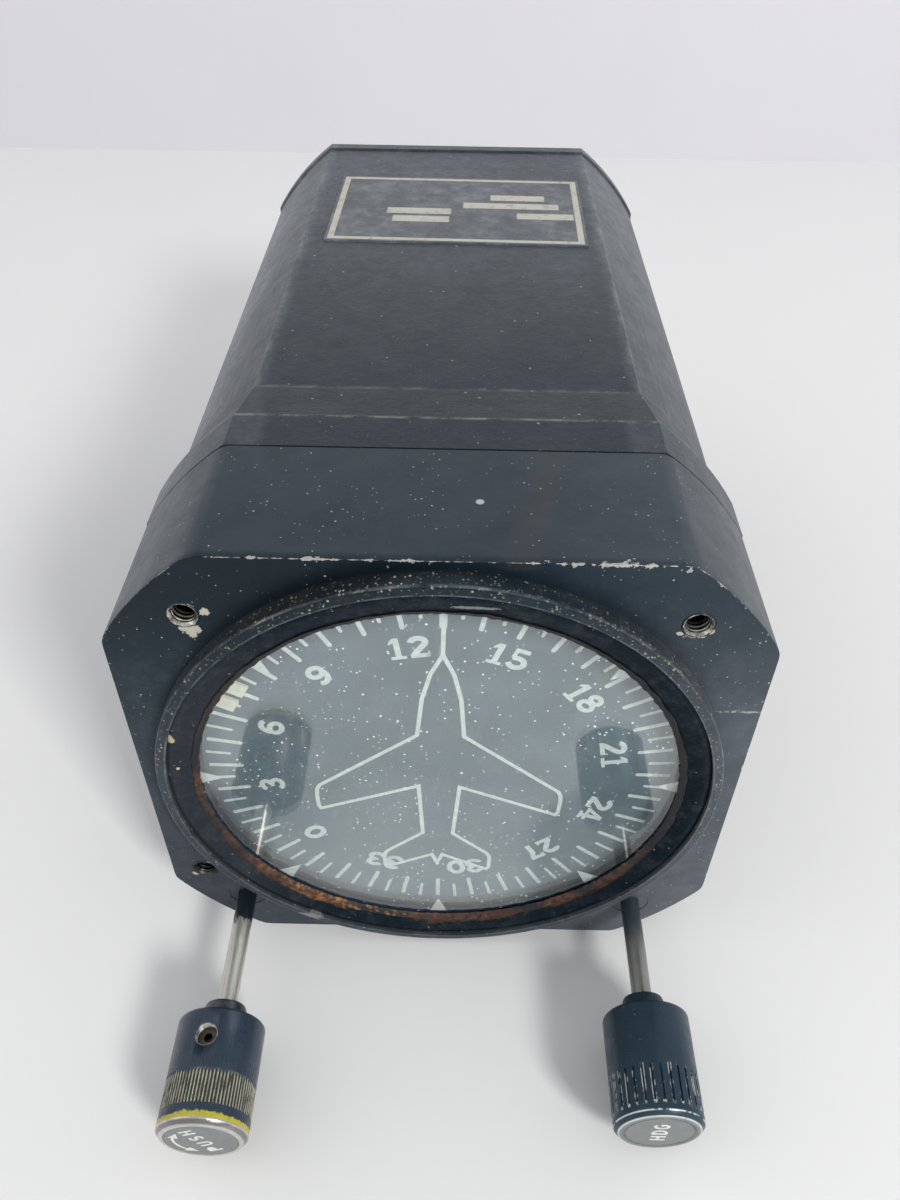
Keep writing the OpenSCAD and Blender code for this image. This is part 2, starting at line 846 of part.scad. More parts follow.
module case_cover() {
    color(paint_dusty) difference() {
        cover_form(0);
        difference() {
            cover_form(cover_wall);
            for (at = four(case_screw_at))
                rod_y(case_screw_r + 1.6, cover_end - 6, cover_end + 2, at);
        }
        for (at = four(case_screw_at))
            rod_y(case_screw_r + 0.15, cover_end - 8, cover_end + 2, at);
    }
}

// The cover's outside, or its inside where it is drawn in by the wall
module cover_form(wall) {
    over = wall > 0 ? 1 : 0;
    along_y(cover_start - over, collar_end)
        case_outline(body_w - 2 * wall, body_h - 2 * wall, corner_r - wall);
    hull() {
        along_y(collar_end - eps, collar_end)
            case_outline(body_w - 2 * wall - 0.3, body_h - 2 * wall - 0.3, corner_r - wall - 0.15);
        along_y(shoulder_end, shoulder_end + eps)
            case_outline(narrow_w - 2 * wall, narrow_h - 2 * wall, narrow_r - wall);
    }
    along_y(shoulder_end, cover_end + over)
        case_outline(narrow_w - 2 * wall, narrow_h - 2 * wall, narrow_r - wall);
}

module seam_gasket() {
    inset = 0.35;
    color(rubber) difference() {
        along_y(housing_len, cover_start)
            case_outline(body_w - 2 * inset, body_h - 2 * inset, corner_r - inset);
        along_y(housing_len - 1, cover_start + 1)
            case_outline(body_w - 2 * cover_wall, body_h - 2 * cover_wall, corner_r - cover_wall);
    }
}

module rear_cover() {
    color(paint_dusty) difference() {
        union() {
            along_y(case_len - rear_t, case_len)
                case_outline(narrow_w + lip_step, narrow_h + lip_step, narrow_r + lip_step / 2);
            rod_y(filter_r + 2, case_len - rear_t - 3, case_len - rear_t + eps, filter_at);
        }
        for (at = four(case_screw_at)) {
            rod_y(case_screw_r + 0.15, case_len - 5, case_len + 1, at);
            rod_y(case_head_r + 0.1, case_len - case_head_t, case_len + 1, at);
        }
        rod_y(6 + fit, case_len - 5, case_len + 1, suction_at);
        rod_y(filter_r + fit, case_len - 3, case_len + 1, filter_at);
        rod_y(tube_r + fit, case_len - 8, case_len, filter_at);
    }
}

module rear_gasket() {
    inset = 0.3;
    color(rubber) difference() {
        along_y(cover_end, case_len - rear_t)
            case_outline(narrow_w - 2 * inset, narrow_h - 2 * inset, narrow_r - inset);
        along_y(cover_end - 1, case_len)
            case_outline(narrow_w - 2 * cover_wall, narrow_h - 2 * cover_wall, narrow_r - cover_wall);
    }
}

module case_screws() {
    color(steel) for (at = four(case_screw_at)) difference() {
        union() {
            rod_y(case_screw_r, case_screw_tip, case_len - 1, at);
            rod_y(case_head_r, case_len - case_head_t, case_len, at);
        }
        translate([at[0] - case_head_r - 1, case_len - 0.6, at[1] - 0.3]) cube([2 * case_head_r + 2, 1, 0.6]);
    }
}

module suction_fitting() {
    color(brass) difference() {
        union() {
            rod_y(6, case_len - rear_t, case_len + 1, suction_at);
            translate([suction_at[0], case_len, suction_at[1]]) rotate([-90, 0, 0])
                cylinder(r = 8.2, h = 4.5, $fn = 6);
            rod_y(suction_r, case_len, case_len + 15, suction_at);
        }
        rod_y(suction_bore_r, case_len - 10, case_len + 20, suction_at);
    }
}

module inlet_filter() {
    color(aluminium) rod_y(filter_r, case_len - 3, case_len - 1.5, filter_at);
}

module filter_retainer() {
    slot = 1.2;
    color(dark_steel) difference() {
        rod_y(filter_r, case_len - 1.5, case_len, filter_at);
        for (a = [0:60:300])
            rod_y(slot, case_len - 3, case_len + 1, filter_at + 5.4 * [cos(a), sin(a)]);
        rod_y(slot, case_len - 3, case_len + 1, filter_at);
    }
}

module air_tube() {
    color(brass) ring_y(tube_r, tube_r - 0.8, frame_end - 3, case_len - 3, filter_at);
}

module data_plate() {
    plate_t = 0.4;
    plate_x = 0.8;
    plate_turn = -1;
    color(dark_steel) translate([plate_x, plate_y, narrow_h / 2 + eps]) rotate(plate_turn)
        linear_extrude(plate_t) square([plate_w, plate_len], center = true);
}

front_housing();
thread_inserts();
glass_gasket();
cover_glass();
glass_sealant();
glass_retaining_ring();
dial_mask();
compass_card();
card_hub();
card_shaft();
card_bearing_housing();
card_bearings();
card_bevel_gear();
card_setting_gear();
heading_bug();
bug_ring_gear();
bug_idler_gear();
bug_idler_stud();
hdg_shaft();
hdg_pinion();
hdg_knob();
hdg_knob_disc();
hdg_set_screw();
shaft_bushings();
push_shaft();
push_knob();
push_knob_disc();
push_set_screw();
push_return_spring();
spring_washer();
setting_pinion();
setting_idler_gear();
setting_idler_stud();
front_bulkhead();
mechanism_screws();
gimbal_frame();
frame_screws();
outer_gimbal();
gimbal_bevel_gear();
outer_gimbal_bearings();
bearing_adjuster();
inner_gimbal();
inner_gimbal_bearings();
rotor();
rotor_bearings();
air_nozzle();
caging_lever();
caging_lever_pivot();
case_cover();
seam_gasket();
rear_cover();
rear_gasket();
case_screws();
suction_fitting();
inlet_filter();
filter_retainer();
air_tube();
data_plate();
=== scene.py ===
"""Looks of the directional gyro indicator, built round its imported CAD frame."""

import math

import bmesh
import bpy
from mathutils import Matrix, Vector, geometry, noise


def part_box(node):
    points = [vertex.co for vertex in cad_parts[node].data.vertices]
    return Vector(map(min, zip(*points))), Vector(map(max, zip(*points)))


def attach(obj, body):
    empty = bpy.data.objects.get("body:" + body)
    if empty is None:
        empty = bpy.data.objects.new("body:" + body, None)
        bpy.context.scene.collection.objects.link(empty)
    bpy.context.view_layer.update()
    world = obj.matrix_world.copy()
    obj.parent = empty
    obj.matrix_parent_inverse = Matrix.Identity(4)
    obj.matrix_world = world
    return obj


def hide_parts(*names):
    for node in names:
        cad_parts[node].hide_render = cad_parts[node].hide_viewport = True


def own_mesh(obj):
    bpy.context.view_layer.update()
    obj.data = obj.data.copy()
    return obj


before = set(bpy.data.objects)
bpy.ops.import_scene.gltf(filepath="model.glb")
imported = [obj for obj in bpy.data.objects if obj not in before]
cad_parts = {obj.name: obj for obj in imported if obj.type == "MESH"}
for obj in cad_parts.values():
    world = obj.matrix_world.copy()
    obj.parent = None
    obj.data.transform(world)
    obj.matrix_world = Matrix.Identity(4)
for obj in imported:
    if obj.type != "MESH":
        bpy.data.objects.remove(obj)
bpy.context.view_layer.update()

MM = 0.001

# Sizes in millimetres, as in the CAD. An outline of the case is its width, height and corner radius
WHOLE = (85, 81.4, 50.3)
NARROW = (82, 78.4, 48.4)
SEAM_Y = 23.2
COLLAR_END = 31.2
SHOULDER_END = 41.5
CASE_LEN = 150
RING_R = 39.5
POCKET_R = 38
SIGHT_R = 33.8
GLASS_FRONT = -1.2
GLASS_BACK = 0.45
CARD_Y = 2.66
KNOB_OFF = 31.43
KNOB_R = 6.35
KNOB_BORE_R = 1.51
KNOB_WALL = 6
KNOB_END_R = 5.7
CHAMFER = 0.75
DISC_R = 5.15
DISC_T = 0.25
COLLAR_R = 3.1
SCREW_R = 1.5
SCREW_BACK = 4.1
PUSH_AT = (-KNOB_OFF, -KNOB_OFF)
PUSH_FRONT = -37.75
PUSH_LEN = 18.7
PUSH_COLLAR = 2.8
PUSH_GRIP = (-35, -30.5)
PUSH_SCREW_ANGLE = -6
KNURLS = 80
HDG_AT = (KNOB_OFF, -KNOB_OFF)
HDG_FRONT = -35.35
HDG_LEN = 18.85
HDG_COLLAR = 2.9
HDG_GRIP = (-33.3, -28.6)
HDG_SCREW_ANGLE = 100
SLITS = 31
INSERT_R = 2.1
INSERT_BORE_R = 1.42
INSERT_LEN = 6
BOLTS_R = KNOB_OFF * math.sqrt(2)
LOWER_ANGLE = math.radians(32.8)
LOWER_HOLE = (-BOLTS_R * math.cos(LOWER_ANGLE), -BOLTS_R * math.sin(LOWER_ANGLE))
INSERTS = [(-KNOB_OFF, KNOB_OFF), (KNOB_OFF, KNOB_OFF), LOWER_HOLE]
PLATE_SIZE = (49.8, 34.2)
PLATE_AT = (0.8, 111.8)
PLATE_TURN = math.radians(-1)

SHARP = math.radians(32)


# Meshes

def add_piece(name, shape, body, material, replaces=(), smooth=True):
    """A new piece from vertices in millimetres and faces."""
    verts, faces = shape
    mesh = bpy.data.meshes.new(name)
    mesh.from_pydata([Vector(v) * MM for v in verts], [], faces)
    bm = bmesh.new()
    bm.from_mesh(mesh)
    bmesh.ops.recalc_face_normals(bm, faces=bm.faces)
    return place_piece(name, bm, body, material, replaces, smooth)


def place_piece(name, bm, body, material, replaces=(), smooth=True):
    """Makes a bmesh in metres a piece that rides on a body."""
    for face in bm.faces:
        face.smooth = smooth
    for edge in bm.edges:
        if len(edge.link_faces) == 2:
            edge.smooth = edge.calc_face_angle() < SHARP
    mesh = bpy.data.meshes.get(name) or bpy.data.meshes.new(name)
    bm.to_mesh(mesh)
    bm.free()
    mesh.materials.append(MATERIALS[material])
    obj = link_new(name, mesh)
    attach(obj, body)
    if replaces:
        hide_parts(*replaces)
    return obj


def link_new(name, data):
    obj = bpy.data.objects.new(name, data)
    bpy.context.scene.collection.objects.link(obj)
    return obj


def even_columns(count):
    return [2 * math.pi * i / count for i in range(count)]


def revolve(profile, columns, at=(0, 0), shift=None):
    """A closed profile of radius and depth, turned about Y at angles. shift moves its points."""
    verts = []
    rows = []
    for index, (r, y) in enumerate(profile):
        if r < 1e-6:
            rows.append([len(verts)] * len(columns))
            verts.append((at[0], y, at[1]))
            continue
        rows.append(list(range(len(verts), len(verts) + len(columns))))
        for angle in columns:
            radius, depth = shift(index, r, y, angle) if shift else (r, y)
            verts.append((at[0] + radius * math.sin(angle), depth, at[1] + radius * math.cos(angle)))
    faces = []
    for row, after in zip(rows, rows[1:] + rows[:1]):
        for i, (first, beyond) in enumerate(zip(row, after)):
            j = (i + 1) % len(columns)
            corners = list(dict.fromkeys([first, row[j], after[j], beyond]))
            if len(corners) > 2:
                faces.append(corners)
    return verts, faces


def rounded_copy(node, material, passes):
    """A copy of a CAD node with chosen edges rounded, which stands for it."""
    bm = bmesh.new()
    bm.from_mesh(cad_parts[node].data)
    bmesh.ops.remove_doubles(bm, verts=bm.verts, dist=2e-6)
    bmesh.ops.dissolve_limit(bm, angle_limit=math.radians(0.4), verts=bm.verts, edges=bm.edges)
    for width, segments, wanted in passes:
        edges = [e for e in bm.edges if len(e.link_faces) == 2 and wanted(e)]
        bmesh.ops.bevel(bm, geom=edges, offset=width * MM, offset_type="OFFSET", segments=segments,
                        profile=0.5, affect="EDGES", clamp_overlap=True)
    obj = place_piece("skin_" + node, bm, "case", material, [node])
    # Keeps the large flat faces flat where they meet the small rounded ones
    modifier = obj.modifiers.new("even_normals", "WEIGHTED_NORMAL")
    modifier.keep_sharp = True
    modifier.weight = 60


def flat_prism(polygons, y_front, y_back):
    """Overlapping flat outlines in X and Z, joined into one plate."""
    points = []
    faces_in = []
    for polygon in polygons:
        start = len(points)
        corners = [Vector(p) for p in polygon]
        around = sum(a.x * b.y - a.y * b.x for a, b in zip(corners, corners[1:] + corners[:1]))
        points.extend(corners if around > 0 else reversed(corners))
        faces_in.append(list(range(start, len(points))))
    found = geometry.delaunay_2d_cdt(points, [], faces_in, 1, 1e-5)
    tris = [list(t) for t, sources in zip(found[2], found[5]) if sources]
    count = len(found[0])
    verts = [(v.x, y, v.y) for y in (y_front, y_back) for v in found[0]]
    uses = {}
    for tri in tris:
        for side in zip(tri, tri[1:] + tri[:1]):
            key = tuple(sorted(side))
            uses[key] = uses.get(key, 0) + 1
    faces = tris + [[i + count for i in reversed(tri)] for tri in tris]
    faces.extend([a, b, b + count, a + count] for (a, b), times in uses.items() if times == 1)
    return verts, faces


def add_marking(name, polygons, y_front, depth, body, material):
    """A thin flat piece of paint."""
    add_piece(name, flat_prism(polygons, y_front, y_front + depth), body, material, smooth=False)


def ribbon(points, width, closed=False):
    """A line with a width, as one outline between each pair of points."""
    points = [Vector(p) for p in points]
    ways = [(b - a).normalized() for a, b in zip(points, points[1:] + points[:1])]
    if not closed:
        ways[-1] = ways[-2]
    lefts = []
    rights = []
    for i, here in enumerate(points):
        behind = ways[i - 1] if closed or i else ways[0]
        along = (ways[i] + behind).normalized()
        across = Vector((-along.y, along.x)) * (width / 2 / max(0.35, along.dot(ways[i])))
        lefts.append(here + across)
        rights.append(here - across)
    pieces = [list(corners) for corners in zip(lefts, lefts[1:] + lefts[:1], rights[1:] + rights[:1], rights)]
    return pieces if closed else pieces[:-1]


def arc(cx, cy, rx, ry, start, end, steps=14):
    """Points on an ellipse, with angles in degrees counter-clockwise from the right."""
    angles = [math.radians(start + (end - start) * i / steps) for i in range(steps + 1)]
    return [(cx + rx * math.cos(a), cy + ry * math.sin(a)) for a in angles]


def box(x0, z0, x1, z1):
    return [(x0, z0), (x1, z0), (x1, z1), (x0, z1)]


def dial_place(points, angle, radius=0):
    """Turns an upright flat shape clockwise from the top, with its top outwards."""
    a = math.radians(angle)
    across = Vector((math.cos(a), -math.sin(a)))
    up = Vector((math.sin(a), math.cos(a)))
    return [across * x + up * (z + radius) for x, z in points]


# Node materials. A colour of three numbers is screen values of 0 to 255

def operator(operation, swapped=False):
    """A sign between two fields that makes a math node."""
    def made(self, other):
        return self.paint.math(operation, *((other, self) if swapped else (self, other)))
    return made


class Field:
    """A number or colour over a surface. a | b is the larger and a & b the smaller of two fields."""

    __add__ = __radd__ = operator("ADD")
    __sub__ = operator("SUBTRACT")
    __rsub__ = operator("SUBTRACT", swapped=True)
    __mul__ = __rmul__ = operator("MULTIPLY")
    __or__ = __ror__ = operator("MAXIMUM")
    __and__ = operator("MINIMUM")

    def __init__(self, paint, socket):
        self.paint = paint
        self.socket = socket

    def __abs__(self):
        return self.paint.math("ABSOLUTE", self)

    def step(self, low, high, to_low=0, to_high=1):
        """A smooth step from to_low to to_high between low and high."""
        return self.paint.node("MapRange", self, low, high, to_low, to_high, interpolation_type="SMOOTHSTEP")

    def between(self, low, high):
        """Noise brought into a range."""
        return self.step(0.2, 0.8, low, high)


class Paint:
    """A node material, with places in millimetres and the colour laid on it so far."""

    def __init__(self, name):
        self.material = bpy.data.materials.new(name)
        self.material.use_nodes = True
        self.tree = self.material.node_tree
        self.tree.nodes.clear()
        self.shader = self.add("BsdfPrincipled")
        self.surface = self.add("OutputMaterial").inputs["Surface"]
        self.put(self.output(self.shader), self.surface)
        in_metres = self.output(self.add("TexCoord"), "Object")
        self.place = self.node("VectorMath", in_metres, operation="SCALE", Scale=1 / MM)
        split = self.add("SeparateXYZ", self.place)
        self.x, self.y, self.z = (self.output(split, i) for i in range(3))

    def put(self, value, socket):
        """Links a field to a socket or sets the socket's value."""
        if isinstance(value, Field):
            self.tree.links.new(value.socket, socket)
        elif socket.type == "RGBA" and len(value) == 3:
            socket.default_value = (*(linear(part) for part in value), 1)
        else:
            socket.default_value = value

    def add(self, kind, *values, **options):
        """A new node with values in its inputs. Options are settings, or inputs if in capitals."""
        node = self.tree.nodes.new("ShaderNode" + kind)
        for value, socket in zip(values, node.inputs):
            self.put(value, socket)
        for name, value in options.items():
            if name.islower():
                setattr(node, name, value)
            else:
                self.put(value, node.inputs[name.replace("_", " ")])
        return node

    def output(self, node, name=0):
        return Field(self, node.outputs[name])

    def node(self, kind, *values, **options):
        """The first output of a new node."""
        return self.output(self.add(kind, *values, **options))

    def math(self, operation, *values):
        return self.node("Math", *values, operation=operation)

    def length(self, a, b):
        return self.math("SQRT", a * a + b * b)

    def distance(self, at=(0, 0)):
        """Distance from an axis along Y."""
        return self.length(self.x - at[0], self.z - at[1])

    def texture(self, kind, size, stretch, offset, turn=(0, 0, 0), **options):
        """A texture node, stretched, shifted and turned."""
        place = self.node("Mapping", self.place, Scale=stretch, Location=offset, Rotation=turn)
        return self.add(kind, Vector=place, Scale=1 / size, **options)

    def noise(self, size, detail=3, rough=0.55, seed=0, stretch=(1, 1, 1)):
        """Noise from 0 to 1 in blotches about size millimetres wide."""
        offset = (seed, seed * 0.7, -seed)
        return self.output(self.texture("TexNoise", size, stretch, offset, Detail=detail, Roughness=rough))

    def specks(self, size, share, radius, seed=0):
        """Small round specks in a share of cells, of radius as a part of a cell."""
        cells = self.texture("TexVoronoi", size, (1, 1, 1), (seed, seed, seed))
        draw = self.node("SeparateColor", self.output(cells, "Color"))
        limit = draw * (radius / share)
        return self.math("LESS_THAN", draw, share) * self.output(cells, "Distance").step(limit + 0.02, limit)

    def scratches(self, size, share, angle, seed=0):
        """Fine lines that lie about one way in X and Z."""
        turn = (0, math.radians(angle), math.radians(angle / 3))
        lines = self.texture("TexNoise", size, (1, 1, 0.06), (seed, seed, seed), turn, Detail=1)
        return self.output(lines).step(1 - share, 1.03 - share)

    def mix(self, share, a, b):
        """A colour that goes from a to b with the share."""
        node = self.add("Mix", share, data_type="RGBA")
        self.put(a, node.inputs[6])
        self.put(b, node.inputs[7])
        return self.output(node, 2)

    def blend(self, share, a, b):
        """A number that goes from a to b with the share."""
        node = self.add("Mix", share)
        self.put(a, node.inputs[2])
        self.put(b, node.inputs[3])
        return self.output(node)

    def ground(self, share, dark, light):
        """The first colour of all."""
        self.colour = self.mix(share, dark, light)

    def lay(self, share, colour):
        """Lays a colour over a share of what is there."""
        self.colour = self.mix(share, self.colour, colour)

    def bump(self, height, depth):
        """Relief from a height of 0 to 1 that stands for depth millimetres."""
        self.put(self.node("Bump", Distance=depth * MM, Height=height), self.shader.inputs["Normal"])

    def done(self, roughness, **values):
        """The finished material."""
        values.update(Base_Color=self.colour, Roughness=roughness)
        for name, value in values.items():
            self.put(value, self.shader.inputs[name.replace("_", " ")])
        return self.material


def linear(value):
    """The linear value of a screen value of 0 to 255."""
    share = value / 255
    return share / 12.92 if share <= 0.04045 else ((share + 0.055) / 1.055) ** 2.4


DUST_AND_LIGHT_GREY = (150, 155, 163)
WEAR_AND_HIGHLIGHT_GREY = (150, 150, 146)
ENAMEL = {"IOR": 1.38, "Specular_Tint": (0.5, 0.8, 1, 1), "Sheen_Roughness": 0.5}


def off_outline(p, outline):
    """Distances inwards from the sides, the top and bottom, and the round corners."""
    width, height, radius = outline
    return width / 2 - abs(p.x), height / 2 - abs(p.z), radius - p.distance()


def blob(p, place, size, seed):
    """A ragged patch about a place in X and Z, with its half width and half height."""
    away = p.length((p.x - place[0]) * (1 / size[0]), (p.z - place[1]) * (1 / size[1]))
    ragged = (p.noise(0.6, 5, 0.8, seed=seed) - 0.5) * 2.6
    return (away + ragged).step(1.06, 0.94)


# Paint broken away by the inserts: insert, place from its middle, half width and half height
FLAKES = [(0, (0.5, -2.3), (1.3, 0.75)), (0, (0.75, -3.1), (0.6, 0.7)), (0, (1.5, -2.5), (0.4, 0.5)),
          (0, (2.75, 0.55), (0.6, 0.55)), (1, (-2, -1.5), (0.45, 0.3)), (1, (1.75, -1), (0.3, 0.5)),
          (1, (0.1, -1.75), (1.3, 0.4)), (2, (-1.5, -1.5), (0.8, 0.45))]
FLECK_AT = (4.6, 11.7)
FLECK_R = 0.5
SCRATCH_Z = 15.6
BARE_RIM_AT = (-21.5, -33)


def front_paint():
    """Blue-black enamel on the front casting, chipped along its edges, with painted light and shade."""
    p = Paint("front_enamel")
    high = p.z.step(20, 42)
    on_top = p.z.step(39, 40)
    on_face = p.y.step(0.6, 0.2)
    around = p.distance()

    # Chips along the edge of the face
    ragged = p.noise(2.2, 4, 0.7, 3) + p.noise(9, 2, 0.5, 11) * 0.6
    by_corner = abs(abs(p.x) - 29.5).step(5, 0, 0, 0.35)
    reach = ragged.step(0.84, 1.06) * p.blend(high, 0.22, 0.9) * (p.x.step(-12, 24, 0.5, 1.35) + by_corner)
    reach += p.noise(1, 3, 0.6, 5) * p.blend(high, 0.2, 0.4)
    from_side, from_top, from_arc = off_outline(p, WHOLE)
    from_edge = p.y | from_side & from_top & from_arc
    chips = (reach - 0.16 - from_edge).step(-0.03, 0.03) * p.y.step(2.6, 1.4)
    flakes = 0
    for seed, (index, off, size) in enumerate(FLAKES, 2):
        flakes |= blob(p, Vector(INSERTS[index]) + Vector(off), size, seed)
    flakes *= p.y.step(0.3, 0.1)

    # The raised ring: worn rim, bare patch, two fine painted highlight lines and grit
    rim_worn = (p.noise(2.6, 4, 0.7, 21) + p.z.step(0, -36, 0, 0.14)).step(0.56, 0.66)
    rim_worn *= abs(around - RING_R).step(0.24, 0.1) * p.y.step(-2.5, -2.8)
    bare_rim = blob(p, BARE_RIM_AT, (2.4, 1.2), 6) * p.y.step(-2, -2.4)
    bare = chips | rim_worn * 0.6 | bare_rim * 0.5
    # Painted highlights: fine light lines along both edges of the ring's rim
    lines = abs(around - (POCKET_R + 0.1)).step(0.16, 0.06) | abs(around - (RING_R - 0.1)).step(0.16, 0.06)
    lines *= p.y.step(-2.4, -2.7) * p.noise(5, 5, 0.75, 36).step(0.35, 0.65, 0, 0.5)
    gritty = p.y.step(-0.2, -0.5) * p.z.step(-20, 14, 0.1, 1)
    gritty *= p.noise(3.5, 4, 0.7, 37).step(0.36, 0.58, 0.15, 1)
    film = p.noise(0.9, 5, 0.8, 48) * p.x.step(4, 24, 0.05, 0.1)
    grit = (p.specks(0.45, 0.8, 0.38, 25) | p.specks(0.8, 0.5, 0.27, 38) | film) * gritty

    # A scratch, specks with one large fleck, and a brown streak
    off_scratch = abs(p.z - SCRATCH_Z - p.noise(0.9, 4, 0.7, 47) * 0.5)
    scratch = off_scratch.step(0.26, 0.08) * p.x.step(36, 37.2) * p.y.step(0.3, 0.1)
    scratch *= p.noise(0.8, 4, 0.7, 35).step(0.4, 0.55)
    specks = p.specks(1.6, 0.25, 0.08, 7) | p.specks(4.5, 0.12, 0.045, 17)
    specks *= p.x.step(-32, -4, 0.25, 0.75)
    fine_specks = p.specks(0.68, 0.6, 0.19, 33) * p.noise(7, 4, 0.7, 39).step(0.42, 0.6)
    fleck = p.length(p.x - FLECK_AT[0], p.y - FLECK_AT[1]).step(FLECK_R + 0.1, FLECK_R - 0.05)
    specks |= fine_specks * 0.85 | fleck * on_top
    streak = abs(p.x + p.noise(3, 3, 0.6, 14) * 4 - p.y * 0.25 - 11).step(3.4, 0.6)
    streak *= on_top * p.noise(1.6, 5, 0.75, 15)

    # Dust mixed with painted light: lighter to the right, on the left side and towards the foot, with hardly
    # any on the painted-shade upper left
    to_right = (p.x + p.noise(14, 3, 0.6, 8) * 12).step(12, 46, 0, 0.16)
    to_right *= p.z.step(38, 8, 0.45, 1.25) * p.y.step(-0.6, -0.1, 0.55, 1)
    to_left = p.x.step(-28, -36, 0, 0.15) * p.y.step(0.1, 0.6)
    to_foot = p.z.step(34, -6, 0, 0.07) * on_face + p.y.step(0.3, 1.6, 0, 0.07)
    dust_and_light = (to_right + to_left + to_foot) * p.noise(6, 6, 0.7, 12).step(0.1, 0.9, 0.6, 1.3)
    dust_and_light += p.noise(3, 8, 0.8, 2).step(0.45, 0.9, 0, 0.2) * p.blend(high, 0.6, 0.2)
    # Painted shade: the upper left of the face is darkened and keeps less dust
    painted_shade = p.z.step(18, 36) * p.x.step(14, -16) * on_face

    p.ground(p.noise(9, 8, 0.75, 1), (4, 16, 25), (13, 29, 40))
    p.lay(painted_shade * 0.75, (1, 5, 9))
    p.lay(dust_and_light * p.blend(painted_shade, 1, 0.25), DUST_AND_LIGHT_GREY)
    p.lay(streak * 0.3, (78, 68, 56))
    p.lay(specks * 0.7, (206, 208, 204))
    p.lay(lines * 0.6, (150, 156, 158))
    p.lay(grit * 0.8, p.mix(p.noise(0.5).step(0.35, 0.65), (70, 62, 48), (196, 190, 172)))
    p.lay(scratch * 0.7, (176, 178, 174))
    p.lay(bare, p.mix(p.noise(1.5), (150, 148, 142), (205, 204, 200)))
    p.lay(flakes, p.mix(p.noise(0.8, 4, 0.7), (150, 144, 130), (206, 202, 188)))
    p.bump(p.noise(0.9, 3, 0.6) * 0.35 - (bare | flakes) * 0.6, 0.06)
    rough = p.blend(bare, p.noise(4, 6, 0.7).between(0.36, 0.52), 0.4)
    return p.done(rough, Metallic=bare * 0.7, Sheen_Weight=0.07, **ENAMEL)


def cover_paint():
    """Dusty black enamel on the cover behind the seam, with painted sheen, highlights and shade."""
    p = Paint("cover_enamel")
    from_side, from_top, from_arc = off_outline(p, NARROW)

    # Wear and painted highlights along the creases and at the ends of the shoulder
    crease = (from_top & from_side | from_arc).step(0.5, 0.05)
    crease *= p.y.step(SHOULDER_END - 2, SHOULDER_END + 2) * p.noise(7, 4, 0.65, 19).step(0.4, 0.7)
    lines = abs(p.y - COLLAR_END).step(0.7, 0.1) + abs(p.y - SHOULDER_END).step(0.7, 0.1, 0, 0.4)
    worn_and_lit = lines * p.noise(4, 5, 0.75, 4).step(0.38, 0.62) | crease * 0.7
    # Painted shade over the sloped shoulder, which also thins the dust there
    shaded_shoulder = p.y.step(COLLAR_END, COLLAR_END + 0.8) * p.y.step(SHOULDER_END, SHOULDER_END - 0.8)

    # Dust mixed with painted sheen, lighter rearwards, on the left and on the round corners
    rearwards = p.y.step(36, 125, 0.03, 0.22) * p.z.step(4, 34, 0.28, 1)
    rearwards *= p.y.step(CASE_LEN - 0.7, CASE_LEN - 0.1, 1, 0.45)
    on_left = p.x.step(-30, -40, 0, 0.36) * p.z.step(4, 26, 0.15, 1)
    dust_and_light = rearwards + on_left + from_arc.step(1.2, 0.2, 0, 0.12)
    dust_and_light *= p.noise(16, 5, 0.65, 16).step(0.3, 0.75, 0.7, 1.2)
    dust_and_light *= p.noise(2, 8, 0.8, 6).step(0.3, 0.8, 0.5, 1.5)

    specks = p.specks(2, 0.35, 0.1, 8) | p.specks(5, 0.15, 0.05, 13)
    specks |= p.specks(0.8, 0.35, 0.15, 34) * 0.4
    grime = p.specks(0.7, 0.5, 0.28, 43) | p.noise(1.2, 5, 0.8, 44).step(0.55, 0.75)
    grime *= p.noise(12, 5, 0.7, 42).step(0.45, 0.7)
    rubbed = p.scratches(0.5, 0.3, 78, 7) * p.noise(11, 3, 0.6, 28).step(0.45, 0.65)

    p.ground(p.noise(8, 8, 0.75, 9), (8, 17, 25), (23, 32, 40))
    p.lay(shaded_shoulder * 0.7, (3, 9, 15))
    p.lay(dust_and_light * p.blend(shaded_shoulder, 1, 0.4), DUST_AND_LIGHT_GREY)
    p.lay(grime * 0.4, (104, 98, 86))
    p.lay(rubbed * 0.22, WEAR_AND_HIGHLIGHT_GREY)
    p.lay(specks * 0.5, (190, 190, 186))
    p.lay(worn_and_lit * 0.55, WEAR_AND_HIGHLIGHT_GREY)
    p.bump(p.noise(1.1, 4, 0.6), 0.08)
    return p.done(p.noise(5, 6, 0.7, 2).between(0.4, 0.56), Sheen_Weight=0.1, **ENAMEL)


def rust_patches(p):
    """Rusty patches along the foot and the left of the glass."""
    return p.noise(6.5, 3, 0.6, 45).step(0.42, 0.54) * (p.z + p.x * 0.45).step(14, -18, 0.1, 1)


def golden_patches(p):
    """Where the sealant has turned golden, at the lower left."""
    where = p.x.step(-31, -20) * p.x.step(-2, -9) * p.z.step(-8, -22)
    return where * p.noise(1.1, 5, 0.8, 46).step(0.47, 0.56)


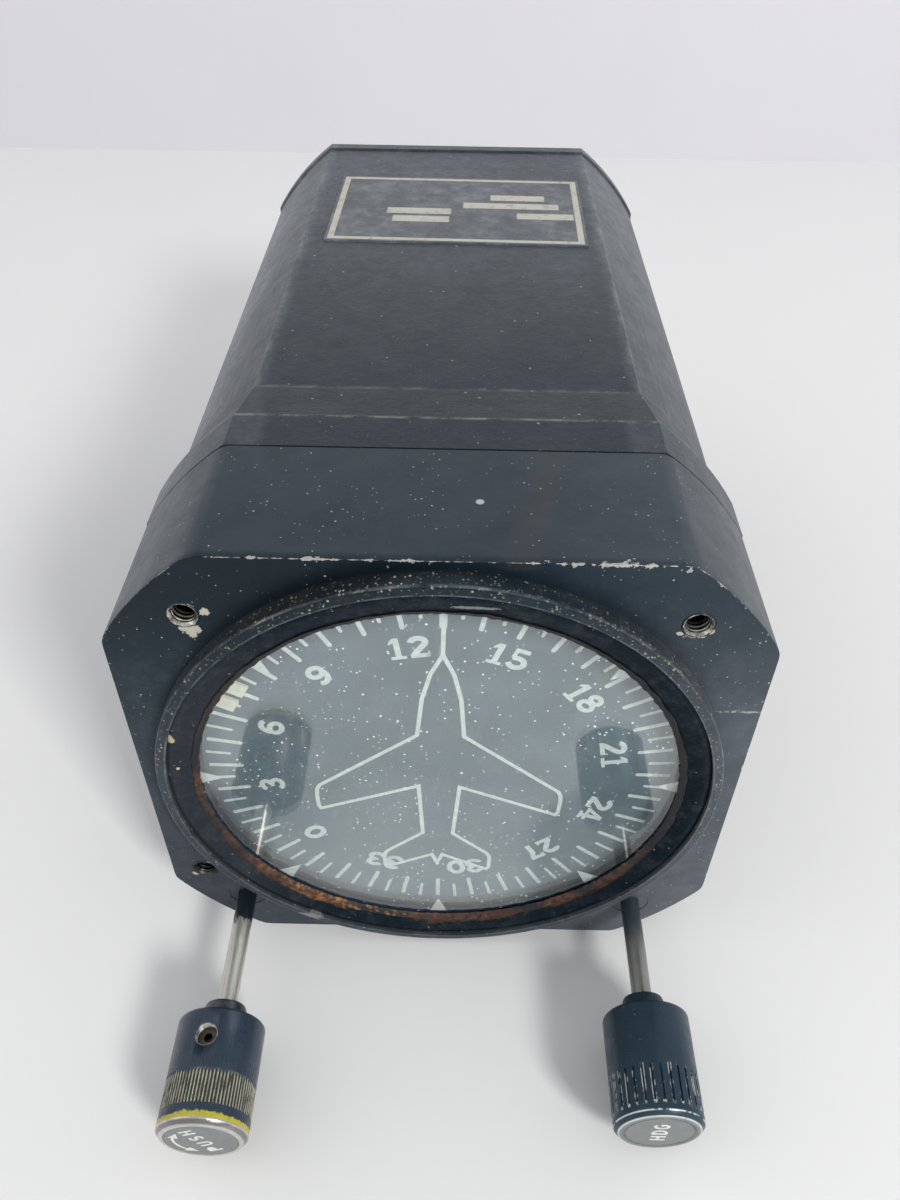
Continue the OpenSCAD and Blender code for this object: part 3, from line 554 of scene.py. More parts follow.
def ring_paint():
    """Enamel on the retaining ring, stained by sealant along its inner edge."""
    p = Paint("ring_enamel")
    reach = SIGHT_R + 0.7 + p.z.step(10, -34) * p.noise(2.5, 4, 0.7, 3) * 1.9
    stain = (reach - p.distance()).step(-0.15, 0.2) * rust_patches(p)
    spots = p.specks(1.2, 0.35, 0.16, 5) * p.z.step(-22, 20, 0.25, 1)
    rust = p.mix(p.noise(1.2, 4, 0.7, 9), (40, 26, 20), (96, 62, 38))
    # Dust, with painted light on the left side
    dust_and_light = p.noise(2.4, 7, 0.8, 11).step(0.45, 0.85, 0, 0.14) + p.x.step(-18, -34, 0, 0.06)
    flecks = blob(p, (-36.1, 10.7), (0.45, 0.85), 8) | blob(p, (-36.2, 4.2), (0.28, 0.32), 9)
    flecks |= p.specks(1, 0.5, 0.12, 49) * 0.5
    p.ground(p.noise(4, 6, 0.7), (3, 11, 18), (12, 24, 33))
    p.lay(dust_and_light, DUST_AND_LIGHT_GREY)
    p.lay(stain | spots * 0.7, p.mix(golden_patches(p), rust, (134, 90, 46)))
    # A pale patch at the top of the sloped band: a scuff with a painted highlight
    p.lay(blob(p, (4, 35.4), (2.6, 0.3), 7) * 0.7, (140, 146, 142))
    p.lay(flecks, (190, 176, 146))
    p.bump(p.noise(1, 3, 0.6) + stain * 0.5, 0.08)
    return p.done(p.noise(3).between(0.3, 0.46), IOR=1.24, Specular_Tint=ENAMEL["Specular_Tint"])


def sealant():
    """Old sealant, black with rust-brown and golden patches."""
    p = Paint("sealant")
    patches = p.noise(1.1, 5, 0.75, 9)
    rust = p.mix(patches.step(0.35, 0.75), (34, 21, 17), (98, 60, 38))
    fresh = p.noise(2.2, 4, 0.65, 31).step(0.6, 0.68) * patches.step(0.48, 0.6)
    share = (rust_patches(p) | p.noise(2, 4, 0.7, 41).step(0.62, 0.72)) * patches.step(0.36, 0.5)
    p.ground(share, (9, 14, 18), p.mix(fresh, rust, (158, 104, 46)))
    p.lay(golden_patches(p), p.mix(patches.step(0.35, 0.7), (88, 54, 32), (180, 126, 64)))
    p.lay(blob(p, (10, -32.4), (6, 1.2), 10) * 0.8, (58, 26, 20))
    p.bump(p.noise(0.6, 4, 0.6), 0.12)
    return p.done(0.55)


def insert_steel():
    """Worn steel inserts, painted round their rims, the lower one dark, with painted shade in their bores."""
    p = Paint("insert_steel")
    first, second, third = (p.distance(at) for at in INSERTS)
    away = first & second & third
    ragged = (p.noise(0.6, 4, 0.75, 3) - 0.5) * 0.7
    painted = (away + ragged).step(1.78, 1.88) * p.y.step(0.2, 0.1)
    # Painted shade inside the bore behind its mouth, with painted highlights on the thread crests near the
    # front
    lit_crest = away.step(INSERT_BORE_R + 0.11, INSERT_BORE_R + 0.03) * p.y.step(2.4, 1)
    p.ground(p.noise(0.5, 4, 0.75).step(0.3, 0.7), (120, 116, 110), (236, 234, 228))
    p.lay(p.y.step(0.25, 0.4), p.mix(lit_crest, (20, 20, 20), (190, 188, 182)))
    p.lay(p.z.step(0, -5, 0, 0.85), (30, 34, 36))
    p.lay(painted, (14, 29, 39))
    p.bump(p.noise(0.5, 3, 0.6), 0.03)
    return p.done(p.noise(1).between(0.26, 0.42), Metallic=(1 - painted) * 0.9)


def marking_paint(name, dark, light):
    p = Paint(name)
    p.ground(p.noise(0.9, 5, 0.7).step(0.3, 0.75), dark, light)
    p.bump(p.noise(0.4), 0.02)
    return p.done(p.noise(1.5).between(0.5, 0.7))


def metal(name, dark, light, rough=0.35, grain=(1, 1, 1), metallic=1):
    """Bare metal with machining grain and dull patches."""
    p = Paint(name)
    fine = p.noise(0.6, 4, 0.6, stretch=grain)
    broad = p.noise(6, 3, 0.6, 4)
    p.ground((fine + broad) * 0.5, dark, light)
    p.bump(fine, 0.02)
    return p.done(broad.between(rough - 0.08, rough + 0.14), Metallic=metallic)


def card_paint():
    p = Paint("card_black")
    p.ground(p.noise(5, 4, 0.6), (20, 50, 66), (26, 58, 75))
    p.bump(p.noise(2, 2), 0.004)
    return p.done(p.noise(6).between(0.5, 0.7))


def rubber():
    p = Paint("rubber")
    p.ground(p.noise(2, 4), (18, 18, 19), (34, 34, 35))
    p.bump(p.noise(0.5), 0.03)
    return p.done(p.noise(1).between(0.7, 0.9))


def clear_glass():
    """Dusty cover glass, which lets light through to the dial."""
    p = Paint("cover_glass")
    p.colour = (240, 252, 252)
    # Dust haze on the glass with painted light: thicker towards the bottom as a painted glow, and thinned
    # round the rim, most at the bottom, as painted shade from the ring
    haze_and_painted_light = p.noise(14, 8, 0.72, 3).step(0.3, 0.8, 0.04, 0.08) + p.z.step(8, -36, 0, 0.035)
    haze_and_painted_light *= (p.distance().step(33.4, 28.5) + p.z.step(-10, 10, 0, 0.5)) & 1
    dots = p.specks(0.8, 0.45, 0.2, 2) | p.specks(2.2, 0.5, 0.08, 22)
    dots *= p.noise(8, 3, 0.6, 52).step(0.35, 0.55, 0.35, 1)
    lines = p.scratches(0.35, 0.28, 25, 1) | p.scratches(0.45, 0.27, -50, 6)
    veil = (haze_and_painted_light + (dots * 0.8 | lines * 0.05)) & 1
    p.done(p.noise(5).between(0.02, 0.05), Transmission_Weight=1 - veil, IOR=1.5,
           Coat_Weight=1, Coat_Roughness=0.03, Coat_IOR=1.5)
    clear = p.node("BsdfTransparent")
    path = p.add("LightPath")
    seen = p.output(p.shader)
    for kind in ("Is Diffuse Ray", "Is Shadow Ray"):
        seen = p.node("MixShader", p.output(path, kind), seen, clear)
    p.put(seen, p.surface)
    return p.material


def knob_base(name, at, front, dark, light):
    """The enamel of a knob, its radius and its chamfered tip."""
    p = Paint(name)
    p.ground(p.noise(2.5, 6, 0.7), dark, light)
    p.lay(p.specks(1.2, 0.06, 0.1, 3) * 0.25, (170, 172, 170))
    p.bump(p.noise(0.6, 3, 0.6), 0.03)
    chamfer_end = front + CHAMFER
    return p, p.distance(at), p.y.step(chamfer_end + 0.04, chamfer_end - 0.04)


YELLOW_END = -36.15


def push_paint():
    """Navy enamel of the caging knob, with worn knurling, a yellow band and a bare tip."""
    p, radius, tip = knob_base("push_enamel", PUSH_AT, PUSH_FRONT, (27, 43, 58), (46, 62, 80))
    grip_front, grip_back = PUSH_GRIP
    shoulder = PUSH_FRONT + PUSH_LEN - PUSH_COLLAR

    # The knurling, worn to olive, with a ragged rear end
    grip_end = grip_back - 0.1 - p.noise(0.5, 3, 0.7, 14, (1, 0.2, 1)) * 0.9
    grip = p.y.step(grip_front - 0.05, grip_front + 0.1) * p.y.step(grip_end + 0.6, grip_end)
    ridge = radius.step(6.2, 6.32) * p.noise(1, 4, 0.7, 4, (1, 0.35, 1)).step(0.3, 0.55)
    olive = p.mix(p.noise(0.8, 4, 0.7, 8), (132, 134, 112), (212, 210, 194))
    groove = p.mix(p.noise(1.2, 3, 0.6, 18), (20, 26, 30), (66, 68, 52))
    p.lay(grip, p.mix(ridge, groove, olive))

    # The yellow band and the chipped neck
    upper = YELLOW_END + (p.noise(0.9, 5, 0.75, 6) - 0.5) * 1.6
    band = p.y.step(upper + 0.08, upper - 0.08) * radius.step(6, 6.1)
    p.lay(band, p.mix(p.noise(0.9, 5, 0.75, 16), (146, 140, 46), (208, 196, 58)))
    neck = abs(radius - (COLLAR_R + 0.25)).step(0.3, 0.12) * p.y.step(shoulder - 0.3, shoulder - 0.1)
    neck *= p.noise(1.1, 4, 0.7, 24).step(0.42, 0.55)

    # A worn line round the set screw's hole
    turn = math.radians(PUSH_SCREW_ANGLE)
    x, z = p.x - PUSH_AT[0], p.z - PUSH_AT[1]
    away = p.length(x * math.cos(turn) - z * math.sin(turn), p.y - (shoulder - SCREW_BACK))
    hole = abs(away - (SCREW_R + 0.02)).step(0.12, 0.04) * p.noise(0.9, 4, 0.7, 27).step(0.36, 0.5)
    hole *= (x * math.sin(turn) + z * math.cos(turn)).step(5, 5.6)
    p.lay((neck | hole) * 0.85, (176, 172, 156))

    # The bare tip, with a darker bevel
    lower = PUSH_FRONT + CHAMFER + 0.12 + (p.noise(0.8, 4, 0.7, 26) - 0.45) * 0.9
    bare = tip | p.y.step(lower + 0.05, lower - 0.05)
    bevel = radius.step(KNOB_END_R + 0.05, KNOB_END_R + 0.2) * radius.step(KNOB_R - 0.03, KNOB_R - 0.15)
    metal_colour = p.mix(p.noise(1, 4), (176, 172, 170), (226, 225, 220))
    p.lay(bare, p.mix(bevel * 0.75, metal_colour, (112, 106, 110)))
    return p.done(p.blend(bare, p.noise(2, 4).between(0.22, 0.4), 0.24), Metallic=bare * 0.9, IOR=1.5)


def hdg_paint():
    """Blue-black enamel of the heading knob, worn to metal along its slits and edges."""
    p, radius, tip = knob_base("hdg_enamel", HDG_AT, HDG_FRONT, (31, 44, 55), (49, 62, 74))
    grip_front, grip_back = HDG_GRIP
    turn = p.math("ARCTAN2", p.x - HDG_AT[0], p.z - HDG_AT[1]) * (SLITS / (2 * math.pi))
    off_slit = abs(turn - p.math("ROUND", turn)) * (2 * math.pi * KNOB_R / SLITS)
    line = abs(off_slit - 0.2).step(0.09, 0.03) * p.noise(1.5, 4, 0.75, 4, (1, 0.45, 1)).step(0.5, 0.57)
    line *= p.y.step(grip_front - 0.45, grip_front - 0.2) * p.y.step(grip_back + 0.4, grip_back + 0.1)
    ends = off_slit.step(0.3, 0.1) * abs(p.y - (grip_front - 0.25)).step(0.3, 0.1)
    ends *= p.noise(0.7, 3, 0.6, 5).step(0.45, 0.6)
    outer_edge = abs(p.y - (HDG_FRONT + CHAMFER)).step(0.14, 0.05)
    outer_edge *= p.noise(2, 4, 0.7, 6).step(0.4, 0.5)
    inner_edge = abs(radius - KNOB_END_R).step(0.16, 0.06) * tip
    inner_edge *= p.noise(2.4, 3, 0.6, 7).step(0.25, 0.4)
    scratch = p.scratches(0.4, 0.27, 30, 4) * 0.12
    bright = line | ends | scratch | outer_edge | inner_edge
    rim = radius.step(KNOB_END_R - 0.08, KNOB_END_R - 0.16) * tip
    p.lay(rim, p.mix(p.noise(1.5, 4), (112, 118, 116), (134, 138, 134)))
    p.lay(bright, p.mix(p.noise(0.8), (184, 186, 182), (232, 232, 228)))
    return p.done(p.noise(2, 4).between(0.28, 0.46), Metallic=bright * 0.5, IOR=1.45,
                  Specular_Tint=ENAMEL["Specular_Tint"])


def disc_paint():
    """Grey discs of the knobs, with dirt in the heading disc's groove."""
    p = Paint("disc_grey")
    radius = p.distance(HDG_AT)
    dirt = abs(radius - 4.85).step(0.22, 0.05) * radius.step(7, 6)
    dirt *= p.noise(1.2, 4, 0.7, 5).step(0.3, 0.7, 0.3, 0.9)
    p.ground(p.noise(1.4, 5, 0.7), (107, 112, 113), (126, 129, 128))
    p.lay(dirt, (46, 48, 44))
    p.lay(p.specks(1.6, 0.3, 0.09, 9) * 0.6, (196, 198, 194))
    p.bump(p.noise(0.8), 0.015)
    return p.done(p.noise(1.5).between(0.4, 0.55))


def shaft_steel(name, dark, light, root, root_end, fade):
    """Bare steel of a shaft, drawn lengthways, with dark paint left at its root."""
    p = Paint(name)
    lengthways = p.noise(0.5, 4, 0.65, 2, (1, 0.06, 1))
    patches = p.noise(2.4, 4, 0.65, 5, (1, 0.5, 1))
    edge = p.y + p.noise(0.8, 4, 0.7, 9, (1, 0.3, 1)) * 5
    painted = edge.step(root_end, root_end + fade)
    p.ground((lengthways + patches) * 0.5, dark, light)
    p.lay(painted, root)
    p.bump(lengthways, 0.02)
    return p.done(patches.between(0.24, 0.42), Metallic=(1 - painted) * 0.85)


# Blank fields of the plate: start, end and place up it, as shares of its size
PLATE_BARS = [(0.63, 0.85, 0.32), (0.52, 0.905, 0.45), (0.735, 0.96, 0.6), (0.216, 0.472, 0.55),
              (0.244, 0.467, 0.67)]


def plate_metal():
    """Grey data plate with a frame line and blank fields."""
    p = Paint("plate_metal")
    width, height = PLATE_SIZE
    x, y = p.x - PLATE_AT[0], p.y - PLATE_AT[1]
    u = x * math.cos(PLATE_TURN) + y * math.sin(PLATE_TURN)
    v = x * math.sin(PLATE_TURN) - y * math.cos(PLATE_TURN)
    from_edge = (width / 2 - abs(u)) & (height / 2 - abs(v))
    light = abs(from_edge - 1.15).step(0.65, 0.5)
    for start, end, row in PLATE_BARS:
        half = (end - start) / 2 * width
        wide = abs(u - ((start + end) / 2 - 0.5) * width).step(half + 0.1, half - 0.1)
        tall = abs(v - (row - 0.5) * height).step(1.6, 1.35)
        light |= wide * tall
    p.ground(p.noise(5, 6, 0.75, 3).step(0.4, 0.75), (82, 88, 94), (124, 128, 132))
    p.lay(p.scratches(0.5, 0.3, 70, 2) * 0.3, (170, 170, 168))
    p.lay(light * p.noise(1.6, 5, 0.75, 13).step(0.28, 0.5, 0.45, 0.95), (198, 196, 182))
    p.bump(p.noise(1, 4, 0.6), 0.03)
    return p.done(p.noise(4).between(0.35, 0.55), Metallic=0.1)


MATERIALS = {
    "front": front_paint(),
    "cover": cover_paint(),
    "ring": ring_paint(),
    "sealant": sealant(),
    "card": card_paint(),
    "white": marking_paint("dial_white", (184, 187, 180), (216, 218, 212)),
    "cream": marking_paint("bug_cream", (204, 198, 174), (226, 221, 200)),
    "legend": marking_paint("legend_white", (200, 202, 198), (236, 238, 234)),
    "disc": disc_paint(),
    "glass": clear_glass(),
    "steel": metal("bright_steel", (138, 138, 136), (200, 200, 198), 0.3, (1, 0.15, 1)),
    "insert": insert_steel(),
    "dark_steel": metal("dark_steel", (52, 56, 60), (96, 100, 104), 0.42, (1, 0.2, 1)),
    "tarnished": metal("tarnished_steel", (44, 38, 35), (122, 112, 104), 0.36),
    "push_shaft": shaft_steel("push_shaft_steel", (176, 172, 160), (240, 238, 230), (20, 30, 38), -3.3, 0.8),
    "hdg_shaft": shaft_steel("hdg_shaft_steel", (120, 120, 114), (178, 178, 172), (52, 61, 68), -10, 9),
    "brass": metal("gear_brass", (150, 118, 58), (206, 176, 104), 0.3),
    # Painted shade: the bug ring gear is dark where it shows round the card
    "shaded_gear": metal("shaded_gear_brass", (10, 16, 20), (24, 31, 35), 0.5, metallic=0),
    "aluminium": metal("frame_aluminium", (150, 152, 154), (204, 206, 208), 0.36),
    "rubber": rubber(),
    "plate": plate_metal(),
    "push": push_paint(),
    "hdg": hdg_paint(),
}

NODES = {
    "front": "front_housing glass_retaining_ring shaft_bushings",
    "cover": "case_cover rear_cover",
    "push": "push_knob",
    "hdg": "hdg_knob",
    "disc": "push_knob_disc hdg_knob_disc",
    "steel": """thread_inserts card_shaft card_bearings push_return_spring spring_washer setting_pinion
        hdg_pinion bug_idler_stud setting_idler_stud mechanism_screws frame_screws
        outer_gimbal_bearings inner_gimbal_bearings rotor_bearings caging_lever_pivot case_screws""",
    "tarnished": "push_set_screw",
    "push_shaft": "push_shaft",
    "hdg_shaft": "hdg_shaft",
    "dark_steel": "hdg_set_screw filter_retainer",
    "glass": "cover_glass",
    "sealant": "glass_sealant",
    "rubber": "glass_gasket seam_gasket rear_gasket",
    "card": "dial_mask compass_card",
    "cream": "heading_bug",
    "shaded_gear": "bug_ring_gear",
    "brass": """card_bevel_gear card_setting_gear bug_idler_gear setting_idler_gear gimbal_bevel_gear
        bearing_adjuster rotor air_nozzle suction_fitting air_tube""",
    "aluminium": """card_hub card_bearing_housing front_bulkhead gimbal_frame outer_gimbal inner_gimbal
        inlet_filter caging_lever""",
    "plate": "data_plate",
}


def dress_nodes():
    """Gives every CAD node its node material."""
    for material, nodes in NODES.items():
        for node in nodes.split():
            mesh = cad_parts[node].data
            mesh.materials.clear()
            mesh.materials.append(MATERIALS[material])


# Case

def on_outline(point, outline=None):
    """Whether a point lies on an outline, by default the case's own at its depth."""
    share = min(max((point.y / MM - COLLAR_END) / (SHOULDER_END - COLLAR_END), 0), 1)
    width, height, radius = outline or [a + (b - a) * share for a, b in zip(WHOLE, NARROW)]
    x, z = abs(point.x) / MM, abs(point.z) / MM
    return abs(min(width / 2 - x, height / 2 - z, radius - math.hypot(x, z))) < 0.08


def crease(start, end):
    """Picks the edges along the case where its flats meet its round corners."""
    def wanted(edge):
        a, b = (v.co for v in edge.verts)
        along = abs(a.y - b.y) > 0.8 * (a - b).length
        inside = all(start - 0.1 < v.y / MM < end + 0.1 and on_outline(v) for v in (a, b))
        return along and inside and edge.calc_face_angle(0) > math.radians(12)
    return wanted


def ring_at(depth, outline=None):
    """Picks the edges of the case's outline at one depth."""
    def wanted(edge):
        return all(abs(v.co.y / MM - depth) < 0.03 and on_outline(v.co, outline) for v in edge.verts)
    return wanted


def make_case():
    """The casting and the covers, with their edges rounded."""
    rounded_copy("front_housing", "front",
                 [(1.2, 4, crease(0, SEAM_Y)), (0.35, 3, ring_at(0)), (0.2, 2, ring_at(SEAM_Y))])
    rounded_copy("case_cover", "cover",
                 [(1, 3, crease(SEAM_Y, CASE_LEN)), (0.2, 2, ring_at(SEAM_Y + 0.3)),
                  (0.2, 2, ring_at(COLLAR_END))])
    rim = (NARROW[0] + 1, NARROW[1] + 1, NARROW[2] + 0.5)
    rounded_copy("rear_cover", "cover", [(0.4, 3, ring_at(CASE_LEN, rim))])


def lump(angle, rate, place):
    """Noise round the dial axis that joins up with itself."""
    return noise.noise(Vector((rate * math.cos(angle), rate * math.sin(angle), place)))


def make_ring():
    """The retaining ring and the lumpy sealant inside it."""
    outer = POCKET_R - 0.03
    ring = [(34.4, GLASS_FRONT), (outer, GLASS_FRONT), (outer, -2.3), (37.45, -2.43), (37.2, -2.46),
            (36.8, -2.38), (36, -2.15), (35.2, -1.9), (34.6, -1.72), (34.42, -1.6)]
    bead = [(34.4, GLASS_FRONT), (33.8, GLASS_FRONT), (33.7, -1.35), (33.95, -1.6), (34.3, -1.75),
            (34.75, -1.85), (34.9, -1.78), (34.42, -1.55)]

    def uneven(index, r, y, angle):
        return (r, y) if index < 3 else (r, y + 0.05 * lump(angle, 9, r))

    def lumpy(index, r, y, angle):
        if index in (0, 7):
            return r, y
        fine = lump(angle, 45, 5)
        size = max(0.05, 0.625 - 0.375 * math.cos(angle) + 0.5 * lump(angle, 14, 2) + 0.25 * fine)
        return r + max(0, r - 34.4) * (size - 1) + 0.24 * fine * (r < 34.2), y - 0.12 * size
    add_piece("skin_retaining_ring", revolve(ring, even_columns(288), shift=uneven), "case", "ring",
              ["glass_retaining_ring"])
    add_piece("sealant_bead", revolve(bead, even_columns(540), shift=lumpy), "case", "sealant",
              ["glass_sealant"])


def make_inserts():
    """Steel inserts with their thread."""
    pitch = 0.7
    root_r = INSERT_BORE_R + 0.16
    profile = [(INSERT_BORE_R, INSERT_LEN), (INSERT_R, INSERT_LEN), (INSERT_R, 0.05), (INSERT_R - 0.12, -0.1),
               (INSERT_R - 0.3, -0.1), (root_r, 0.35)]
    y = 0.6
    while y < INSERT_LEN - pitch:
        profile.extend([(INSERT_BORE_R, y), (root_r, y + pitch / 2)])
        y += pitch
    verts = []
    faces = []
    for at in INSERTS:
        more, more_faces = revolve(profile, even_columns(56), at)
        faces.extend([i + len(verts) for i in face] for face in more_faces)
        verts.extend(more)
    add_piece("inserts_threaded", (verts, faces), "case", "insert", ["thread_inserts"])


# Dial. Digits are bold with slabs, 4.1 mm high, drawn about their middle

STEM = 0.9
BEND = STEM * 0.95
HALF_H = 2.05
FOOT = -HALF_H
TOP = HALF_H - STEM / 2

DIGITS = {
    "0": ribbon(arc(0, 0, 1.15, TOP, 0, 345, 23), STEM, closed=True),
    "1": [box(-0.3, FOOT, 0.55, HALF_H), box(-1, FOOT, 1.2, FOOT + 0.55),
          [(-0.3, HALF_H), (-0.95, 1.3), (-0.95, 0.85), (-0.3, 1.2)]],
    "2": ribbon(arc(0, 0.9, 1.05, 0.78, 175, -30) + [(-0.95, -1.45)], STEM)
         + [box(-1.4, FOOT, 1.4, FOOT + 0.75), [(1, FOOT), (1.4, FOOT), (1.4, -0.9), (1.15, -0.9)]],
    "3": ribbon(arc(0, 0.92, 1, 0.74, 165, -80), BEND)
         + ribbon(arc(0, -0.8, 1.12, 0.85, 85, -165), BEND) + [box(-0.45, -0.25, 0.2, 0.35)],
    "4": ribbon([(0.35, HALF_H - 0.2), (-1.2, -0.75)], 0.65)
         + [box(-1.55, -1.15, 1.5, -0.5), box(0.05, FOOT, 0.88, HALF_H), box(-0.45, FOOT, 1.35, FOOT + 0.5)],
    "5": ribbon([(-0.75, 1.7), (-0.85, 0.2)], 0.6) + [box(-1.05, 1.3, 1.15, HALF_H)]
         + ribbon([(-0.85, 0.2)] + arc(-0.05, -0.72, 1.15, 0.93, 110, -165), BEND),
    "6": ribbon(arc(0.05, -0.72, 1.1, 0.92, 0, 340, 17), BEND, closed=True)
         + ribbon(arc(0.15, 0, 1.25, TOP, 55, 190), BEND),
    "7": [box(-1.35, 1.3, 1.35, HALF_H), box(-1.35, 0.9, -0.95, HALF_H)]
         + ribbon([(1, 1.6), (0.1, 0.1), (-0.15, FOOT)], STEM),
    "8": ribbon(arc(0, 0.98, 0.92, 0.7, 0, 340, 17), STEM * 0.9, closed=True)
         + ribbon(arc(0, -0.82, 1.15, 0.85, 0, 340, 17), STEM * 0.9, closed=True),
}
DIGITS["9"] = [[(-x, -z) for x, z in outline] for outline in DIGITS["6"]]

DIGIT_STEP = 2.95
DIGIT_SIZE = 0.92
NUMERAL_R = 25
CARD_OFFSET = -9.7
# A tick's inner and outer end and its width
LONG_TICK = (28.3, 33.3, 0.66)
SHORT_TICK = (29.9, 33.5, 0.5)


def make_card_markings():
    """Numbers every 30 degrees and ticks every 5 on the card."""
    shapes = []
    for step in range(12):
        text = str(step * 3)
        for k, digit in enumerate(text):
            shift = (k - (len(text) - 1) / 2) * DIGIT_STEP
            for outline in DIGITS[digit]:
                moved = [(x * DIGIT_SIZE + shift, z * DIGIT_SIZE) for x, z in outline]
                shapes.append(dial_place(moved, CARD_OFFSET + (step - 4) * 30, NUMERAL_R))
    for step in range(72):
        inner, outer, width = SHORT_TICK if step % 2 else LONG_TICK
        half = width / 2
        inner_end = arc(0, inner + half, half, half, 180, 360, 6)
        shapes.append(dial_place(inner_end + [(half, outer), (-half, outer)], CARD_OFFSET + step * 5))
    add_marking("card_markings", shapes, CARD_Y - 0.04, 0.04, "card", "white")


SYMBOL_TURN = 0.8
SYMBOL_LINE = 0.58
SYMBOL_HALF = [(0, 25.7), (1.55, 22.1), (2.6, 17.4), (3.2, 10.1), (17.2, -1.5), (17.6, -2.4), (17.7, -3.75),
               (17.6, -6.3), (17.25, -7), (2.95, -1.05), (2.25, -12.45), (7.65, -17.4), (8.1, -18.3),
               (8.15, -19.1), (8.1, -21.2), (7.75, -21.75), (0.8, -18.1), (0, -20.35)]


def make_glass_markings():
    """The aeroplane, the lubber line and the triangles inside the glass."""
    outline = SYMBOL_HALF + [(-x, z) for x, z in reversed(SYMBOL_HALF[1:-1])]
    symbol = ribbon(outline, SYMBOL_LINE, closed=True) + ribbon([(0, 25.5), (0, 30.6)], SYMBOL_LINE)
    shapes = [dial_place(polygon, SYMBOL_TURN) for polygon in symbol]
    for step in range(1, 8):
        shapes.append(dial_place([(0, 30.8), (1.4, 34.4), (-1.4, 34.4)], step * 45))
    shapes.append(dial_place(box(-0.43, 30.35, 0.43, 34.4), SYMBOL_TURN))
    add_marking("glass_markings", shapes, GLASS_BACK + 0.01, 0.04, "case", "white")


# Knobs

def cut_screw_hole(obj, at, depth, angle):
    """Cuts the radial hole of a knob's set screw."""
    mesh = bpy.data.meshes.new("cutter")
    bm = bmesh.new()
    radius = SCREW_R * MM
    bmesh.ops.create_cone(bm, cap_ends=True, segments=40, radius1=radius, radius2=radius, depth=8 * MM)
    bm.transform(Matrix.Translation(Vector((at[0], depth, at[1])) * MM)
                 @ Matrix.Rotation(math.radians(angle), 4, "Y") @ Matrix.Translation((0, 0, 5.6 * MM)))
    bm.to_mesh(mesh)
    bm.free()
    cutter = link_new("cutter", mesh)
    modifier = obj.modifiers.new("hole", "BOOLEAN")
    modifier.operation = "DIFFERENCE"
    modifier.solver = "EXACT"
    modifier.object = cutter
    graph = bpy.context.evaluated_depsgraph_get()
    made = bpy.data.meshes.new_from_object(obj.evaluated_get(graph))
    obj.modifiers.clear()
    obj.data = made
    bpy.data.objects.remove(cutter)


GRIP_ROWS = (8, 9)


def make_knob(body, at, front, length, collar, grip, columns, groove, screw_angle):
    """The knob of a body. groove gives the depth of cut at an angle of its grip."""
    back = front + length
    shoulder = back - collar
    grip_front, grip_back = grip
    profile = [(0, front + DISC_T), (DISC_R, front + DISC_T), (DISC_R + 0.05, front),
               (KNOB_END_R - 0.1, front), (KNOB_END_R + 0.05, front + 0.08),
               (KNOB_R - 0.05, front + CHAMFER - 0.08),
               (KNOB_R, front + CHAMFER + 0.05), (KNOB_R, grip_front - 0.05), (KNOB_R, grip_front + 0.12),
               (KNOB_R, grip_back - 0.12), (KNOB_R, grip_back + 0.05), (KNOB_R, shoulder - 0.55),
               (KNOB_R - 0.08, shoulder - 0.28), (KNOB_R - 0.25, shoulder - 0.08), (KNOB_R - 0.55, shoulder),
               (COLLAR_R, shoulder), (COLLAR_R, back - 0.5), (COLLAR_R - 0.15, back - 0.15),
               (COLLAR_R - 0.5, back), (KNOB_BORE_R, back), (KNOB_BORE_R, front + KNOB_WALL),
               (0, front + KNOB_WALL)]

    def cut(index, r, y, angle):
        return (r - groove(angle), y) if index in GRIP_ROWS else (r, y)
    shape = revolve(profile, columns, at, cut)
    obj = add_piece("knob_" + body, shape, body, body, [body + "_knob"])
    cut_screw_hole(obj, at, shoulder - SCREW_BACK, screw_angle)
    for polygon in obj.data.polygons:
        polygon.use_smooth = True


def make_push_knob():
    """The caging knob, with fine straight knurling."""
    def groove(angle):
        return 0.2 * (0.5 - 0.5 * math.cos(KNURLS * angle)) ** 0.7
    make_knob("push", PUSH_AT, PUSH_FRONT, PUSH_LEN, PUSH_COLLAR, PUSH_GRIP, even_columns(KNURLS * 6), groove,
              PUSH_SCREW_ANGLE)


def make_hdg_knob():
    """The heading knob, with narrow slits in its grip."""
    half = 0.125 / KNOB_R
    lip = 0.03 / KNOB_R
    step = 2 * math.pi / SLITS
    offsets = (-half - lip, -half, half, half + lip, step * 0.36, step * 0.64)
    columns = [i * step + offset for i in range(SLITS) for offset in offsets]

    def groove(angle):
        off_slit = abs(angle - step * round(angle / step))
        return 0.28 if off_slit < half + lip / 2 else 0
    make_knob("hdg", HDG_AT, HDG_FRONT, HDG_LEN, HDG_COLLAR, HDG_GRIP, columns, groove, HDG_SCREW_ANGLE)


SPRING_WIRE_R = 0.3
SPRING_GAP = 0.05
SPRING_TURNS = 8


